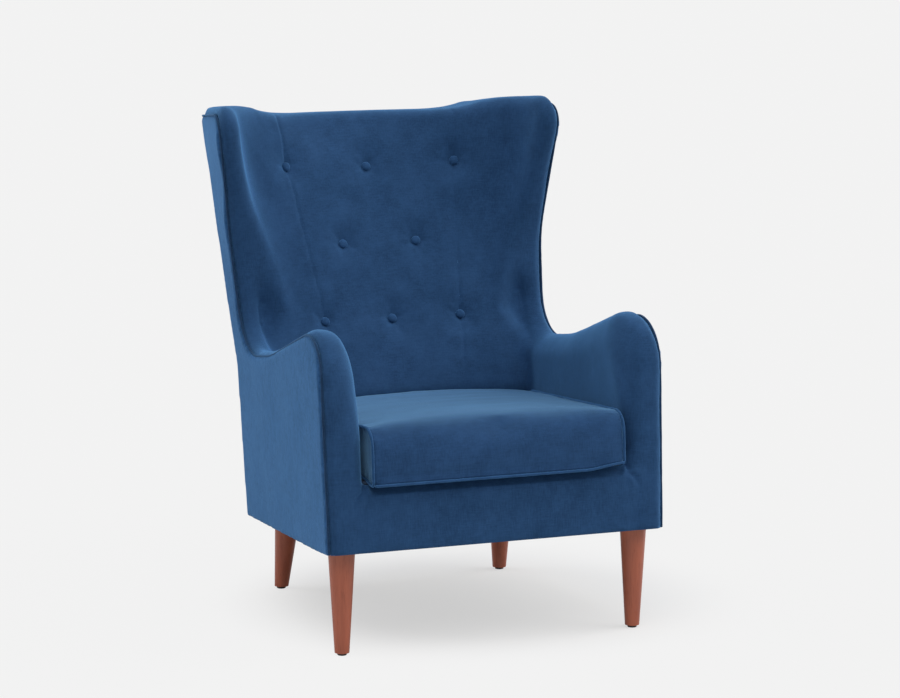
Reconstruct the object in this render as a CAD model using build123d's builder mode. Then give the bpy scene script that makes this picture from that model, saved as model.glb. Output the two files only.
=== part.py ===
from build123d import *
import os
from math import ceil, cos, hypot, radians, sin, sqrt, tan

os.makedirs("parts", exist_ok=True)

# ---------------------------------------------------------------------------
# Driving dimensions, millimetres. X runs across the chair with 0 on its middle,
# -Y is its front and +Z is up from the floor. A depth is a distance behind the
# front face of the base, and back() turns it into Y.
# ---------------------------------------------------------------------------
base_depth = 630.0          # front to rear along the underside of the base
base_front_z = 214.0        # underside of the base at its front edge
base_rear_z = 165.0         # underside of the base at its rear edge
arm_width = 731.0           # outside width across the arms, near their tops
front_narrow = 11.0         # the foot of the arm fronts is narrower by this much
rear_narrow = 81.0          # the foot of the back
waist_narrow = 39.0         # the waist, where the arms meet the back
back_top_narrow = 15.0      # and the back at its top
wing_flare = 41.0           # the front edges of the wings stand wider by this much
front_width = arm_width - front_narrow
rear_width = arm_width - rear_narrow
waist_width = arm_width - waist_narrow
back_top_width = arm_width - back_top_narrow
wing_spread = arm_width + wing_flare
top_z = 1000.0              # top edge of the back

arm_z = 626.0               # welt at the crown of the arm
arm_lean = 34.0             # the arm front leans back this far at the arm top
arm_round = 86.0            # round of the arm front, seen from the side
arm_slope = 0.33            # fall of the arm top behind its crown
dip_ahead = 41.0            # the arm turns up into the wing this far ahead of the base's rear
dip_drop = 113.0            # that corner lies this far below the crown
dip_round = 115.0           # round of that corner
waist_z = 745.0             # the wing is furthest back at this height
waist_behind = 12.0         # the wing's waist lies this far behind the base
wing_ahead = 24.0           # and its top front corner this far ahead of the base's rear
wing_above = 23.0           # that corner lies this far above the top edge
wing_round = 40.0
back_reach = 198.0          # the top rear corner hangs this far behind the base
kink_z = 500.0              # the back is upright below here and leans above it
back_bow = 50.0             # the outside back bulges this far at its top
dip_depth = base_depth - dip_ahead
waist_depth = base_depth + waist_behind
wing_depth = base_depth - wing_ahead
wing_z = top_z + wing_above

panel = 9.0                 # outside panels: board, wadding and cloth
ply = 18.0                  # side frames
crown = 12.0                # padding swells this far beyond the welt
edge_pad = 8.0              # and reaches this far inside it
foam = 22.0                 # padding of the inside back and the inside arms
gap = 0.3                   # clearance between neighbouring pieces
welt = 7.0                  # diameter of the welt along the sides

back_thick = 99.0           # thickness of the back at the seat
back_top_thick = 46.6       # and at the middle of its top edge
arm_thick = 86.5            # thickness of the arms near their tops
wing_thick = 47.0           # thickness of the wings at their tops
seat_back_z = 435.0         # the inside back leans above this height
arm_top_z = 600.0           # the wings open above here
seat_back_depth = base_depth - back_thick
back_top_depth = base_depth + back_reach + back_bow - back_top_thick
back_lean = (back_top_depth - seat_back_depth) / (top_z - seat_back_z)
space_width = arm_width - 2 * arm_thick
space_flare = (wing_spread / 2 - wing_thick - space_width / 2) / (top_z - arm_top_z)
back_round = 1400.0         # plan radius of the inside back, low down
barrel_round = 400.0        # plan radius of the inside back at the top
barrel_z = 700.0            # the inside back tightens above this height
corner_low = 16.0           # plan radius of its corners at the seat
corner_high = 120.0         # and at its top

deck_z = 353.0              # top of the deck at the front of the base
deck_fall = 4.5             # the deck falls to the rear by this angle, degrees
deck_thick = 8.0
nose = 24.0                 # the seat cushion stands this far ahead of the base

depth = nose + base_depth + back_reach + back_bow
front_y = nose - depth / 2


def back(d):
    """Y of a point that lies d behind the front face of the base."""
    return front_y + d


def mix(low, high, share):
    return low + (high - low) * share


def base_z(d):
    """Underside of the base at depth d."""
    return mix(base_front_z, base_rear_z, d / base_depth)


def deck_top(d):
    """Top of the deck at depth d."""
    return deck_z - d * tan(radians(deck_fall))


# ---------------------------------------------------------------------------
# Side outline: the line that the welt follows up the arm front, over the arm,
# up the wing and back to the top rear corner, closed by the leaning rear edge.
# ---------------------------------------------------------------------------
def side_corners():
    """Corners of the side outline as (depth, height, radius)."""
    slope_start = arm_lean + 346
    return [
        (0, base_front_z, 0),
        (arm_lean, arm_z + 34, arm_round),
        (slope_start, arm_z + 34 - 346 * arm_slope, 450),
        (dip_depth, arm_z - dip_drop, dip_round),
        (waist_depth, waist_z, 250),
        (wing_depth, wing_z, wing_round),
        (base_depth + back_reach, top_z, 8),
        (base_depth + 6, kink_z, 300),
        (base_depth, base_rear_z, 0),
    ]


def rear_depth(z):
    """Depth of the rear edge of the sides at height z."""
    if z <= kink_z:
        return base_depth + 6 * (z - base_rear_z) / (kink_z - base_rear_z)
    return base_depth + mix(6, back_reach, (z - kink_z) / (top_z - kink_z))


def side_line(z):
    """Outside half width at height z, as the value at depth 0 and its slope."""
    if z <= arm_top_z:
        front_x = mix(front_width, arm_width, (z - base_front_z) / (arm_top_z - base_front_z)) / 2
        rear_x = mix(rear_width, waist_width, (z - base_rear_z) / (arm_top_z - base_rear_z)) / 2
        front_d = arm_lean * (z - base_front_z) / (arm_z - base_front_z)
    else:
        front_x = mix(waist_width + 6, wing_spread, (z - arm_top_z - 60) / (top_z - arm_top_z - 60)) / 2
        rear_x = mix(waist_width, back_top_width, (z - arm_top_z) / (top_z - arm_top_z)) / 2
        front_d = wing_depth + 16
    slope = (rear_x - front_x) / (rear_depth(z) - front_d)
    return front_x - slope * front_d, slope


def outside_x(d, z):
    start, slope = side_line(z)
    return start + slope * d


form_step = 85              # spacing of the plan sections; one lies at the top edge
form_count = ceil((top_z - base_rear_z) / form_step + 0.7)
form_levels = [top_z + form_step * step for step in range(-form_count, 2)]


def form_start(z):
    """Depth where the plan section at height z starts: ahead of the arms or of the wings."""
    share = min(1, max(0, (z - arm_z) / (wing_z - arm_z)))
    return mix(-60, dip_depth - 60, share * share * (3 - 2 * share))


def outer_form(side_in, rear_in, ahead=0):
    """The whole upholstered body in plan, set in from its sides and its rear."""
    with BuildPart() as form:
        for z in form_levels:
            d0 = form_start(z) - ahead
            d1 = rear_depth(z) - rear_in
            x0 = outside_x(d0, z) - side_in
            x1 = outside_x(d1, z) - side_in
            bow = max(2, back_bow * (z - base_rear_z) / (top_z - base_rear_z))
            with BuildSketch(Plane.XY.offset(z)):
                with BuildLine():
                    Line((-x0, back(d0)), (x0, back(d0)))
                    Line((x0, back(d0)), (x1, back(d1)))
                    ThreePointArc((x1, back(d1)), (0, back(d1 + bow)), (-x1, back(d1)))
                    Line((-x1, back(d1)), (-x0, back(d0)))
                make_face()
        loft()
    return form.part


def side_layer(outer_in, inner_in):
    """A sheet under the right-hand outside surface, between two depths below it."""
    with BuildPart() as sheet:
        for z in form_levels:
            d0 = form_start(z)
            d1 = rear_depth(z) + 40
            xa = outside_x(d0, z)
            xb = outside_x(d1, z)
            with BuildSketch(Plane.XY.offset(z)):
                with BuildLine():
                    Polyline(
                        (xa - outer_in, back(d0)),
                        (xb - outer_in, back(d1)),
                        (xb - inner_in, back(d1)),
                        (xa - inner_in, back(d0)),
                        close=True,
                    )
                make_face()
        loft()
    return sheet.part


def inside_depth(z):
    """Depth of the inside back at its middle."""
    return seat_back_depth + max(0, z - seat_back_z) * back_lean


def inside_radius(z):
    """Plan radius of the inside back at height z."""
    share = min(1, max(0, z - barrel_z) / (top_z - barrel_z))
    return 1 / mix(1 / back_round, 1 / barrel_round, share)


def space_half(z):
    return space_width / 2 + max(0, z - arm_top_z) * space_flare


def corner_radius(z):
    """Plan radius of the corners between the inside back and the sides."""
    share = min(1, max(0, z - seat_back_z) / (barrel_z - seat_back_z))
    return mix(corner_low, corner_high, share)


def space_form(grow):
    """The sitting space between arms, wings and back, grown on all sides."""
    with BuildPart() as form:
        for z in [mix(seat_back_z - 5, top_z, step / 5) for step in range(7)]:
            half = space_half(z) + grow
            radius = inside_radius(z) + grow
            middle = inside_depth(z) + grow
            side = middle - radius + sqrt(radius**2 - half**2)
            with BuildSketch(Plane.XY.offset(z)) as section:
                with BuildLine():
                    Line((-half, back(-200)), (half, back(-200)))
                    Line((half, back(-200)), (half, back(side)))
                    ThreePointArc((half, back(side)), (0, back(middle)), (-half, back(side)))
                    Line((-half, back(side)), (-half, back(-200)))
                make_face()
                fillet(section.vertices().group_by(Axis.Y)[-1], corner_radius(z) + grow)
        loft()
        extrude(form.faces().sort_by(Axis.Z)[0], amount=seat_back_z - 80)
    return form.part


sitting_space = space_form(0)
frame_space = space_form(foam)


# ---------------------------------------------------------------------------
# Outlines drawn inside a caller's sketch on Plane.YZ or Plane.XZ
# ---------------------------------------------------------------------------
far = 1100                  # cutting outlines run out to here


def side_outline():
    """The closed outline of a side."""
    corners = side_corners()
    points = [(back(d), z) for d, z, r in corners]
    FilletPolyline(*points, radius=[r for d, z, r in corners], close=True)


def front_outline():
    """The same outline, left open to the rear and carried below the base."""
    corners = side_corners()[1:6]
    fall = (top_z - wing_z) / (base_depth + back_reach - wing_depth)
    points = [(back(0), 0), (back(0), base_front_z)] + [(back(d), z) for d, z, r in corners]
    points += [(back(far), wing_z + fall * (far - wing_depth)), (back(far), 0)]
    FilletPolyline(*points, radius=[0, 0] + [r for d, z, r in corners] + [0, 0], close=True)


wing_rise = 42.0            # the wings may stand this far above the back
rise_start = 215.0          # half width of the level part of the top edge
rise_end = 330.0


def top_outline(drop):
    """Top edge from the front: level over the back and raised at the wings."""
    low = top_z - drop
    high = low + wing_rise
    FilletPolyline(
        (-far, 0),
        (-far, high),
        (-rise_end, high),
        (-rise_start, low),
        (rise_start, low),
        (rise_end, high),
        (far, high),
        (far, 0),
        radius=[0, 0, 90, 150, 150, 90, 0, 0],
        close=True,
    )


# ---------------------------------------------------------------------------
# Padding. One form is cut from the outer form by the sitting space, rounded,
# hollowed for the frame and parted at the seams.
# ---------------------------------------------------------------------------
apron_depth = 20.0          # the arm fronts are padded back to here below the deck
inner_round = 30.0          # rounding along the inside edge of arms and wings
outer_round = 11.0          # rounding along the welt
top_round = 5.0             # rounding along the top edge, at the outside back
seam_low = 153.0            # half width between the seams at the bottom buttons
seam_high = 190.0           # and at the top buttons
low_row_z = 580.0
middle_row_z = 733.0
top_row_z = top_z - 103.0
arm_seam_z = 595.0          # the arm covers end here, where the wings begin
button_width = 21.0
button_thick = 7.0
dimple = 6.0                # a button pulls the padding in this far
dimple_round = 34.0


def seam_half(z):
    return mix(seam_low, seam_high, (z - low_row_z) / (top_row_z - low_row_z))


def below_base():
    """Everything under the sloping base, drawn as a polygon on Plane.YZ."""
    Polyline(
        (back(-far), base_z(-far)),
        (back(far), base_z(far)),
        (back(far), -far),
        (back(-far), -far),
        close=True,
    )


def is_rim(edge, z):
    return edge.geom_type != GeomType.LINE and edge.length < 900 and edge.center().Z > z


def is_outside(edge):
    """True for an edge on the form that the padding shares with the outside panels."""
    spot = edge.center()
    return abs(abs(spot.X) - outside_x(spot.Y - front_y, spot.Z) + panel + gap) < 3


with BuildPart() as frame_cavity:
    with BuildSketch(Plane.YZ):
        with BuildLine():
            front_outline()
        make_face()
        offset(amount=-edge_pad, kind=Kind.INTERSECTION)
    extrude(amount=far, both=True)
    with BuildSketch(Plane.XZ):
        with BuildLine():
            top_outline(crown + edge_pad)
        make_face()
    extrude(amount=far, both=True, mode=Mode.INTERSECT)
    add(frame_space, mode=Mode.SUBTRACT)

with BuildPart() as padding:
    with BuildSketch(Plane.YZ):
        with BuildLine():
            front_outline()
        make_face()
        offset(amount=crown, kind=Kind.ARC)
    extrude(amount=far, both=True)
    add(outer_form(panel + gap, panel + gap), mode=Mode.INTERSECT)
    with BuildSketch(Plane.XZ):
        with BuildLine():
            top_outline(0)
        make_face()
    extrude(amount=far, both=True, mode=Mode.INTERSECT)
    add(sitting_space, mode=Mode.SUBTRACT)
    inner_rim = padding.edges(Select.LAST).filter_by(lambda edge: is_rim(edge, 450))
    fillet(inner_rim, inner_round)
    curved = padding.edges().filter_by(lambda edge: is_rim(edge, base_front_z))
    fillet(curved.filter_by(is_outside), outer_round)
    top_rear = curved.filter_by(lambda edge: edge.center().Y > back(base_depth + back_reach))
    fillet(top_rear.filter_by(lambda edge: edge.center().Z > top_z - 10), top_round)
    with BuildSketch(Plane.YZ):
        with BuildLine():
            Polyline(
                (back(-far), base_z(-far)),
                (back(apron_depth), base_z(apron_depth)),
                (back(apron_depth), deck_top(apron_depth) + gap),
                (back(far), deck_top(far) + gap),
                (back(far), -far),
                (back(-far), -far),
                close=True,
            )
        make_face()
    extrude(amount=far, both=True, mode=Mode.SUBTRACT)
    add(frame_cavity.part, mode=Mode.SUBTRACT)

# The buttons sit where straight lines from the front meet the inside back.
rows = [
    (0, top_row_z - 8),
    (seam_high, top_row_z),
    (-seam_high, top_row_z),
    (83, middle_row_z),
    (-83, middle_row_z),
    (0, low_row_z - 2),
    (seam_low, low_row_z),
    (-seam_low, low_row_z),
]
button_planes = []
for x, z in rows:
    hits = padding.part.find_intersection_points(Axis((x, front_y, z), (0, 1, 0)))
    point, normal = hits[0]
    button_planes.append(Plane(point, z_dir=normal if normal.Y < 0 else -normal))

with BuildPart() as dimples:
    for place in button_planes:
        with Locations(place.offset(dimple_round - dimple)):
            Sphere(dimple_round)

with BuildPart() as seams:
    with BuildSketch(Plane.XZ):
        low_x = seam_half(deck_z - 100)
        high_x = seam_half(top_z + 100)
        for sign in (-1, 1):
            with BuildLine():
                Polyline(
                    (sign * low_x, deck_z - 100),
                    (sign * high_x, top_z + 100),
                    (sign * (high_x + gap), top_z + 100),
                    (sign * (low_x + gap), deck_z - 100),
                    close=True,
                )
            make_face()
    extrude(amount=far, both=True)
    for sign in (-1, 1):
        with Locations((sign * seam_half(arm_seam_z), back(dip_depth - 80), arm_seam_z)):
            Box(far, far, gap, align=(Align.MIN if sign > 0 else Align.MAX, Align.MIN, Align.CENTER))

with BuildPart() as parted:
    add(padding.part)
    add(dimples.part, mode=Mode.SUBTRACT)
    add(seams.part, mode=Mode.SUBTRACT)


def padding_piece(x, z):
    """The piece of the parted padding whose middle lies nearest to x and z."""
    return min(parted.solids(), key=lambda piece: hypot(piece.center().X - x, piece.center().Z - z))


with BuildPart() as arm_pad_right:
    add(padding_piece(space_width / 2, arm_z - 150))
    with BuildSketch(Plane.YZ):
        with BuildLine():
            below_base()
        make_face()
    extrude(amount=far, both=True, mode=Mode.SUBTRACT)
arm_pad_right.part.label = "arm_pad_right"
export_step(arm_pad_right.part, "parts/arm_pad_right.step")

with BuildPart() as arm_pad_left:
    mirror(arm_pad_right.part, about=Plane.YZ)
arm_pad_left.part.label = "arm_pad_left"
export_step(arm_pad_left.part, "parts/arm_pad_left.step")

with BuildPart() as wing_pad_right:
    add(padding_piece(space_width / 2, arm_z + 200))
wing_pad_right.part.label = "wing_pad_right"
export_step(wing_pad_right.part, "parts/wing_pad_right.step")

with BuildPart() as wing_pad_left:
    mirror(wing_pad_right.part, about=Plane.YZ)
wing_pad_left.part.label = "wing_pad_left"
export_step(wing_pad_left.part, "parts/wing_pad_left.step")

with BuildPart() as back_pad:
    add(padding_piece(0, middle_row_z))
back_pad.part.label = "back_pad"
export_step(back_pad.part, "parts/back_pad.step")

apron_z = deck_z - deck_thick       # top of the apron

with BuildPart() as front_apron:
    lean = arm_lean / (arm_z + 34 - base_front_z)
    with BuildSketch(Plane.YZ):
        with BuildLine():
            FilletPolyline(
                (back(-crown), base_z(-crown)),
                (back(lean * (apron_z - base_front_z) - crown), apron_z),
                (back(apron_depth), apron_z),
                (back(apron_depth), base_z(apron_depth)),
                radius=[0, outer_round, 0, 0],
                close=True,
            )
        make_face()
    extrude(amount=space_width / 2 - gap, both=True)
front_apron.part.label = "front_apron"
export_step(front_apron.part, "parts/front_apron.step")

with BuildPart() as back_buttons:
    for place in button_planes:
        seat = dimple_round - sqrt(dimple_round**2 - button_width**2 / 4)
        with BuildSketch(place.offset(seat + gap - dimple)):
            Circle(button_width / 2)
        extrude(amount=button_thick)
        outward = Axis(place.origin, place.z_dir)
        fillet(back_buttons.edges(Select.LAST).sort_by(outward)[-1], button_thick - 2)
back_buttons.part.label = "back_buttons"
export_step(back_buttons.part, "parts/back_buttons.step")

# ---------------------------------------------------------------------------
# Outside panels: two sides and the bowed back between them.
# ---------------------------------------------------------------------------
panel_gap = 26.0            # the outside back ends this far below the top edge

with BuildPart() as outside_panel_right:
    add(side_layer(0, panel))
    with BuildSketch(Plane.YZ):
        with BuildLine():
            side_outline()
        make_face()
    extrude(amount=far, both=True, mode=Mode.INTERSECT)
outside_panel_right.part.label = "outside_panel_right"
export_step(outside_panel_right.part, "parts/outside_panel_right.step")

with BuildPart() as outside_panel_left:
    mirror(outside_panel_right.part, about=Plane.YZ)
outside_panel_left.part.label = "outside_panel_left"
export_step(outside_panel_left.part, "parts/outside_panel_left.step")

with BuildPart() as outside_back:
    add(outer_form(panel + gap, 0))
    add(outer_form(panel + gap - 5, panel, ahead=50), mode=Mode.SUBTRACT)
    with BuildSketch(Plane.XZ):
        with BuildLine():
            top_outline(panel_gap)
        make_face()
    extrude(amount=far, both=True, mode=Mode.INTERSECT)
    with BuildSketch(Plane.YZ):
        with BuildLine():
            below_base()
        make_face()
    extrude(amount=far, both=True, mode=Mode.SUBTRACT)
outside_back.part.label = "outside_back"
export_step(outside_back.part, "parts/outside_back.step")

# ---------------------------------------------------------------------------
# Legs: turned cones on hanger bolts, with a glide under each.
# ---------------------------------------------------------------------------
glide_thick = 5.0
glide_width = 19.0
leg_foot = 29.0             # diameters of the legs
leg_head = 54.0
leg_inset = 46.0            # the front legs stand this far inside the arm fronts
front_foot = (front_width / 2 - leg_inset, 45.0)  # half width and depth of the feet
rear_foot = (rear_width / 2 - 72.5, base_depth - 8)
front_head = (front_width / 2 - leg_inset, 45.0)  # and of the leg tops
rear_head = (rear_width / 2 - 80, base_depth - 33)
bolt = 8.0
bolt_in_leg = 35.0
bolt_in_frame = 38.0
insert = 14.0
insert_length = 20.0
fit = 0.15                  # radial clearance of bolts and inserts


def leg_plane(foot, head):
    """Plane at the middle of the leg top, with its normal up along the leg."""
    top = Vector(head[0], back(head[1]), base_z(head[1]))
    bottom = Vector(foot[0], back(foot[1]), 0)
    return Plane(top, x_dir=(1, 0, 0), z_dir=top - bottom)


def leg_body(foot, head):
    """A tapered leg, cut level at the glide and along the base at its top."""
    plane = leg_plane(foot, head)
    length = (plane.origin - Vector(foot[0], back(foot[1]), 0)).length
    taper = (leg_head - leg_foot) / length
    with BuildPart() as body:
        with BuildSketch(plane.offset(10)):
            Circle((leg_head + taper * 10) / 2)
        with BuildSketch(plane.offset(-length - 5)):
            Circle((leg_foot - taper * 5) / 2)
        loft()
        with BuildSketch(Plane.YZ):
            with BuildLine():
                Polyline(
                    (back(-far), base_z(-far) - gap),
                    (back(far), base_z(far) - gap),
                    (back(far), glide_thick + gap),
                    (back(-far), glide_thick + gap),
                    close=True,
                )
            make_face()
        extrude(amount=far, both=True, mode=Mode.INTERSECT)
        with BuildSketch(plane.offset(10)):
            Circle(bolt / 2 + fit)
        extrude(amount=-10 - bolt_in_leg - 1, mode=Mode.SUBTRACT)
        with BuildSketch(Plane((foot[0], back(foot[1]), 0))):
            Circle(stud / 2 + fit)
        extrude(amount=glide_thick + stud_length + 1, mode=Mode.SUBTRACT)
    return body.part


stud = 5.0                  # the glides are held by these studs
stud_length = 14.0
front_plane = leg_plane(front_foot, front_head)
rear_plane = leg_plane(rear_foot, rear_head)

with BuildPart() as bolt_holes:
    for plane in (front_plane, rear_plane):
        with BuildSketch(plane.offset(-10)):
            Circle(bolt / 2 + fit)
        extrude(amount=10 + bolt_in_frame + 2)
        with BuildSketch(plane.offset(-10)):
            Circle(insert / 2 + fit)
        extrude(amount=10 + insert_length + 1)

# ---------------------------------------------------------------------------
# Frame: ply sides, posts, rails and blocks, all inside the padding.
# ---------------------------------------------------------------------------
post = 26.0                 # posts and rails are this thick across the chair
post_depth = 40.0
rail = 24.0                 # thickness of the front rail
back_rail = 18.0            # thickness of the curved rails of the back
hole = 84.0                 # lightening holes in the ply sides
side_in = panel + gap + ply + gap
frame_clear = 0.8           # the posts and rails stop this far behind the padding

with BuildPart() as back_clear:
    add(space_form(foam + frame_clear))

with BuildPart() as side_frame_right:
    add(side_layer(panel + gap, panel + gap + ply))
    with BuildSketch(Plane.YZ):
        with BuildLine():
            side_outline()
        make_face()
        offset(amount=-edge_pad - gap, kind=Kind.INTERSECTION)
        with Locations(
            (back(150), 400),
            (back(260), 400),
            (back(370), 400),
            (back(480), 400),
        ):
            Circle(hole / 2, mode=Mode.SUBTRACT)
    extrude(amount=far, both=True, mode=Mode.INTERSECT)
    add(back_clear.part, mode=Mode.SUBTRACT)
    add(outer_form(panel, panel + gap), mode=Mode.INTERSECT)
side_frame_right.part.label = "side_frame_right"
export_step(side_frame_right.part, "parts/side_frame_right.step")

with BuildPart() as side_frame_left:
    mirror(side_frame_right.part, about=Plane.YZ)
side_frame_left.part.label = "side_frame_left"
export_step(side_frame_left.part, "parts/side_frame_left.step")

with BuildPart() as post_layer:
    add(side_layer(side_in, side_in + post))

post_top = arm_z - 66
post_front = 22.0
post_lean = 15 / (post_top - base_front_z)

with BuildPart() as arm_post_right:
    add(post_layer.part)
    with BuildSketch(Plane.YZ):
        with BuildLine():
            Polyline(
                (back(post_front), base_z(post_front)),
                (back(post_front + 15), post_top),
                (back(post_front + 15 + post_depth), post_top),
                (back(post_front + post_depth), base_z(post_front + post_depth)),
                close=True,
            )
        make_face()
    extrude(amount=far, both=True, mode=Mode.INTERSECT)
    add(bolt_holes.part, mode=Mode.SUBTRACT)
arm_post_right.part.label = "arm_post_right"
export_step(arm_post_right.part, "parts/arm_post_right.step")

with BuildPart() as arm_post_left:
    mirror(arm_post_right.part, about=Plane.YZ)
arm_post_left.part.label = "arm_post_left"
export_step(arm_post_left.part, "parts/arm_post_left.step")

rear_face = 19.0            # the rear members stop this far inside the outside surface

with BuildPart() as back_post_right:
    add(post_layer.part)
    with BuildSketch(Plane.YZ):
        with BuildLine():
            Polyline(
                (back(rear_depth(base_rear_z) - rear_face - post_depth), base_z(base_depth - rear_face - post_depth)),
                (back(rear_depth(base_rear_z) - rear_face), base_z(base_depth - rear_face)),
                (back(rear_depth(kink_z) - rear_face), kink_z),
                (back(rear_depth(top_z - 60) - rear_face), top_z - 60),
                (back(rear_depth(top_z - 60) - rear_face - post_depth), top_z - 60),
                (back(rear_depth(kink_z) - rear_face - post_depth), kink_z),
                close=True,
            )
        make_face()
    extrude(amount=far, both=True, mode=Mode.INTERSECT)
    with BuildSketch(Plane.YZ):
        with BuildLine():
            front_outline()
        make_face()
        offset(amount=-edge_pad - frame_clear, kind=Kind.INTERSECTION)
    extrude(amount=far, both=True, mode=Mode.INTERSECT)
    add(back_clear.part, mode=Mode.SUBTRACT)
back_post_right.part.label = "back_post_right"
export_step(back_post_right.part, "parts/back_post_right.step")

with BuildPart() as back_post_left:
    mirror(back_post_right.part, about=Plane.YZ)
back_post_left.part.label = "back_post_left"
export_step(back_post_left.part, "parts/back_post_left.step")

webbing = 2.0
long_web = deck_thick + gap             # the lengthwise bands start this far below the deck
cross_web = long_web + webbing + gap
rail_drop = cross_web + webbing + gap


def deck_strip(drop, thick, start, end):
    """A strip parallel to the deck, drawn as a polygon on Plane.YZ."""
    Polyline(
        (back(start), deck_top(start) - drop),
        (back(end), deck_top(end) - drop),
        (back(end), deck_top(end) - drop - thick),
        (back(start), deck_top(start) - drop - thick),
        close=True,
    )


def base_block(drop, start, end):
    """The base between two depths, up to a level below the deck, on Plane.YZ."""
    Polyline(
        (back(start), deck_top(start) - drop),
        (back(end), deck_top(end) - drop),
        (back(end), base_z(end)),
        (back(start), base_z(start)),
        close=True,
    )


with BuildPart() as between_posts:
    add(outer_form(side_in + post + gap, rear_face))

with BuildPart() as front_rail:
    with BuildSketch(Plane.YZ):
        with BuildLine():
            base_block(cross_web, apron_depth + gap, apron_depth + gap + rail)
        make_face()
    extrude(amount=far, both=True)
    add(between_posts.part, mode=Mode.INTERSECT)
front_rail.part.label = "front_rail"
export_step(front_rail.part, "parts/front_rail.step")

rear_rail_depth = 36.0
rear_rail_start = base_depth - rear_face - rear_rail_depth


with BuildPart() as rear_rail:
    with BuildSketch(Plane.YZ):
        with BuildLine():
            base_block(cross_web, rear_rail_start, base_depth + back_bow)
        make_face()
    extrude(amount=far, both=True)
    add(between_posts.part, mode=Mode.INTERSECT)
    add(bolt_holes.part, mode=Mode.SUBTRACT)
    add(mirror(bolt_holes.part, about=Plane.YZ, mode=Mode.PRIVATE), mode=Mode.SUBTRACT)
rear_rail.part.label = "rear_rail"
export_step(rear_rail.part, "parts/rear_rail.step")

rail_lift = 8.0             # the side rails stay this far above the underside

with BuildPart() as side_rail_right:
    add(post_layer.part)
    with BuildSketch(Plane.YZ):
        with BuildLine():
            low_start = post_front + post_depth + 1
            high_start = low_start + post_lean * (deck_top(low_start) - base_z(low_start))
            end = base_depth - rear_face - post_depth - gap
            Polyline(
                (back(low_start), base_z(low_start) + rail_lift),
                (back(high_start), deck_top(high_start) - rail_drop),
                (back(end), deck_top(end) - rail_drop),
                (back(end), base_z(end) + rail_lift),
                close=True,
            )
        make_face()
    extrude(amount=far, both=True, mode=Mode.INTERSECT)
side_rail_right.part.label = "side_rail_right"
export_step(side_rail_right.part, "parts/side_rail_right.step")

with BuildPart() as side_rail_left:
    mirror(side_rail_right.part, about=Plane.YZ)
side_rail_left.part.label = "side_rail_left"
export_step(side_rail_left.part, "parts/side_rail_left.step")

block_leg = 70.0            # the corner blocks run this far along both rails
block_low = 4.0
block_high = 54.0

with BuildPart() as corner_blocks:
    with BuildSketch(Plane.XY):
        for d, step in (
            (apron_depth + gap + rail + gap, block_leg),
            (rear_rail_start - gap, -block_leg),
        ):
            edge_x = outside_x(d, base_front_z + 30) - side_in - post + 15
            for sign in (-1, 1):
                with BuildLine():
                    Polyline(
                        (sign * edge_x, back(d)),
                        (sign * (edge_x - block_leg - 15), back(d)),
                        (sign * edge_x, back(d + step + step / block_leg * 15)),
                        close=True,
                    )
                make_face()
    extrude(amount=far)
    add(between_posts.part, mode=Mode.INTERSECT)
    with BuildSketch(Plane.YZ):
        with BuildLine():
            Polyline(
                (back(0), base_z(0) + block_low),
                (back(base_depth), base_z(base_depth) + block_low),
                (back(base_depth), base_z(base_depth) + block_high),
                (back(0), base_z(0) + block_high),
                close=True,
            )
        make_face()
    extrude(amount=far, both=True, mode=Mode.INTERSECT)
corner_blocks.part.label = "corner_blocks"
export_step(corner_blocks.part, "parts/corner_blocks.step")


def back_rail_band(low, high):
    """A band of the back between two heights, drawn as a polygon on Plane.YZ."""
    start = inside_depth(low) - 60
    Polyline(
        (back(start), low),
        (back(start + back_lean * (high - low)), high),
        (back(far), high),
        (back(far), low),
        close=True,
    )


with BuildPart() as back_shell:
    add(space_form(foam + frame_clear + back_rail))
    add(back_clear.part, mode=Mode.SUBTRACT)
    add(outer_form(side_in, rear_face), mode=Mode.INTERSECT)

with BuildPart() as back_fill:
    with BuildSketch(Plane.YZ):
        with BuildLine():
            front_outline()
        make_face()
        offset(amount=-edge_pad - gap, kind=Kind.INTERSECTION)
    extrude(amount=far, both=True)
    add(between_posts.part, mode=Mode.INTERSECT)
    add(back_clear.part, mode=Mode.SUBTRACT)

with BuildPart() as waist_rail:
    add(back_fill.part)
    with BuildSketch(Plane.YZ):
        with BuildLine():
            rear = rear_depth(370) - rear_face
            Polyline(
                (back(rear - 55), 370),
                (back(rear - 55), 430),
                (back(rear), 430),
                (back(rear), 370),
                close=True,
            )
        make_face()
    extrude(amount=far, both=True, mode=Mode.INTERSECT)
waist_rail.part.label = "waist_rail"
export_step(waist_rail.part, "parts/waist_rail.step")

with BuildPart() as lumbar_rail:
    add(back_fill.part)
    with BuildSketch(Plane.YZ):
        with BuildLine():
            Polyline(
                (back(rear_depth(610) - rear_face - 60), 610),
                (back(rear_depth(670) - rear_face - 60), 670),
                (back(rear_depth(670) - rear_face), 670),
                (back(rear_depth(610) - rear_face), 610),
                close=True,
            )
        make_face()
    extrude(amount=far, both=True, mode=Mode.INTERSECT)
lumbar_rail.part.label = "lumbar_rail"
export_step(lumbar_rail.part, "parts/lumbar_rail.step")

with BuildPart() as crest_rail:
    add(back_shell.part)
    with BuildSketch(Plane.YZ):
        with BuildLine():
            back_rail_band(860, 930)
        make_face()
    extrude(amount=far, both=True, mode=Mode.INTERSECT)
crest_rail.part.label = "crest_rail"
export_step(crest_rail.part, "parts/crest_rail.step")

with BuildPart() as front_leg_right:
    add(leg_body(front_foot, front_head))
front_leg_right.part.label = "front_leg_right"
export_step(front_leg_right.part, "parts/front_leg_right.step")

with BuildPart() as front_leg_left:
    mirror(front_leg_right.part, about=Plane.YZ)
front_leg_left.part.label = "front_leg_left"
export_step(front_leg_left.part, "parts/front_leg_left.step")

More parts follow.
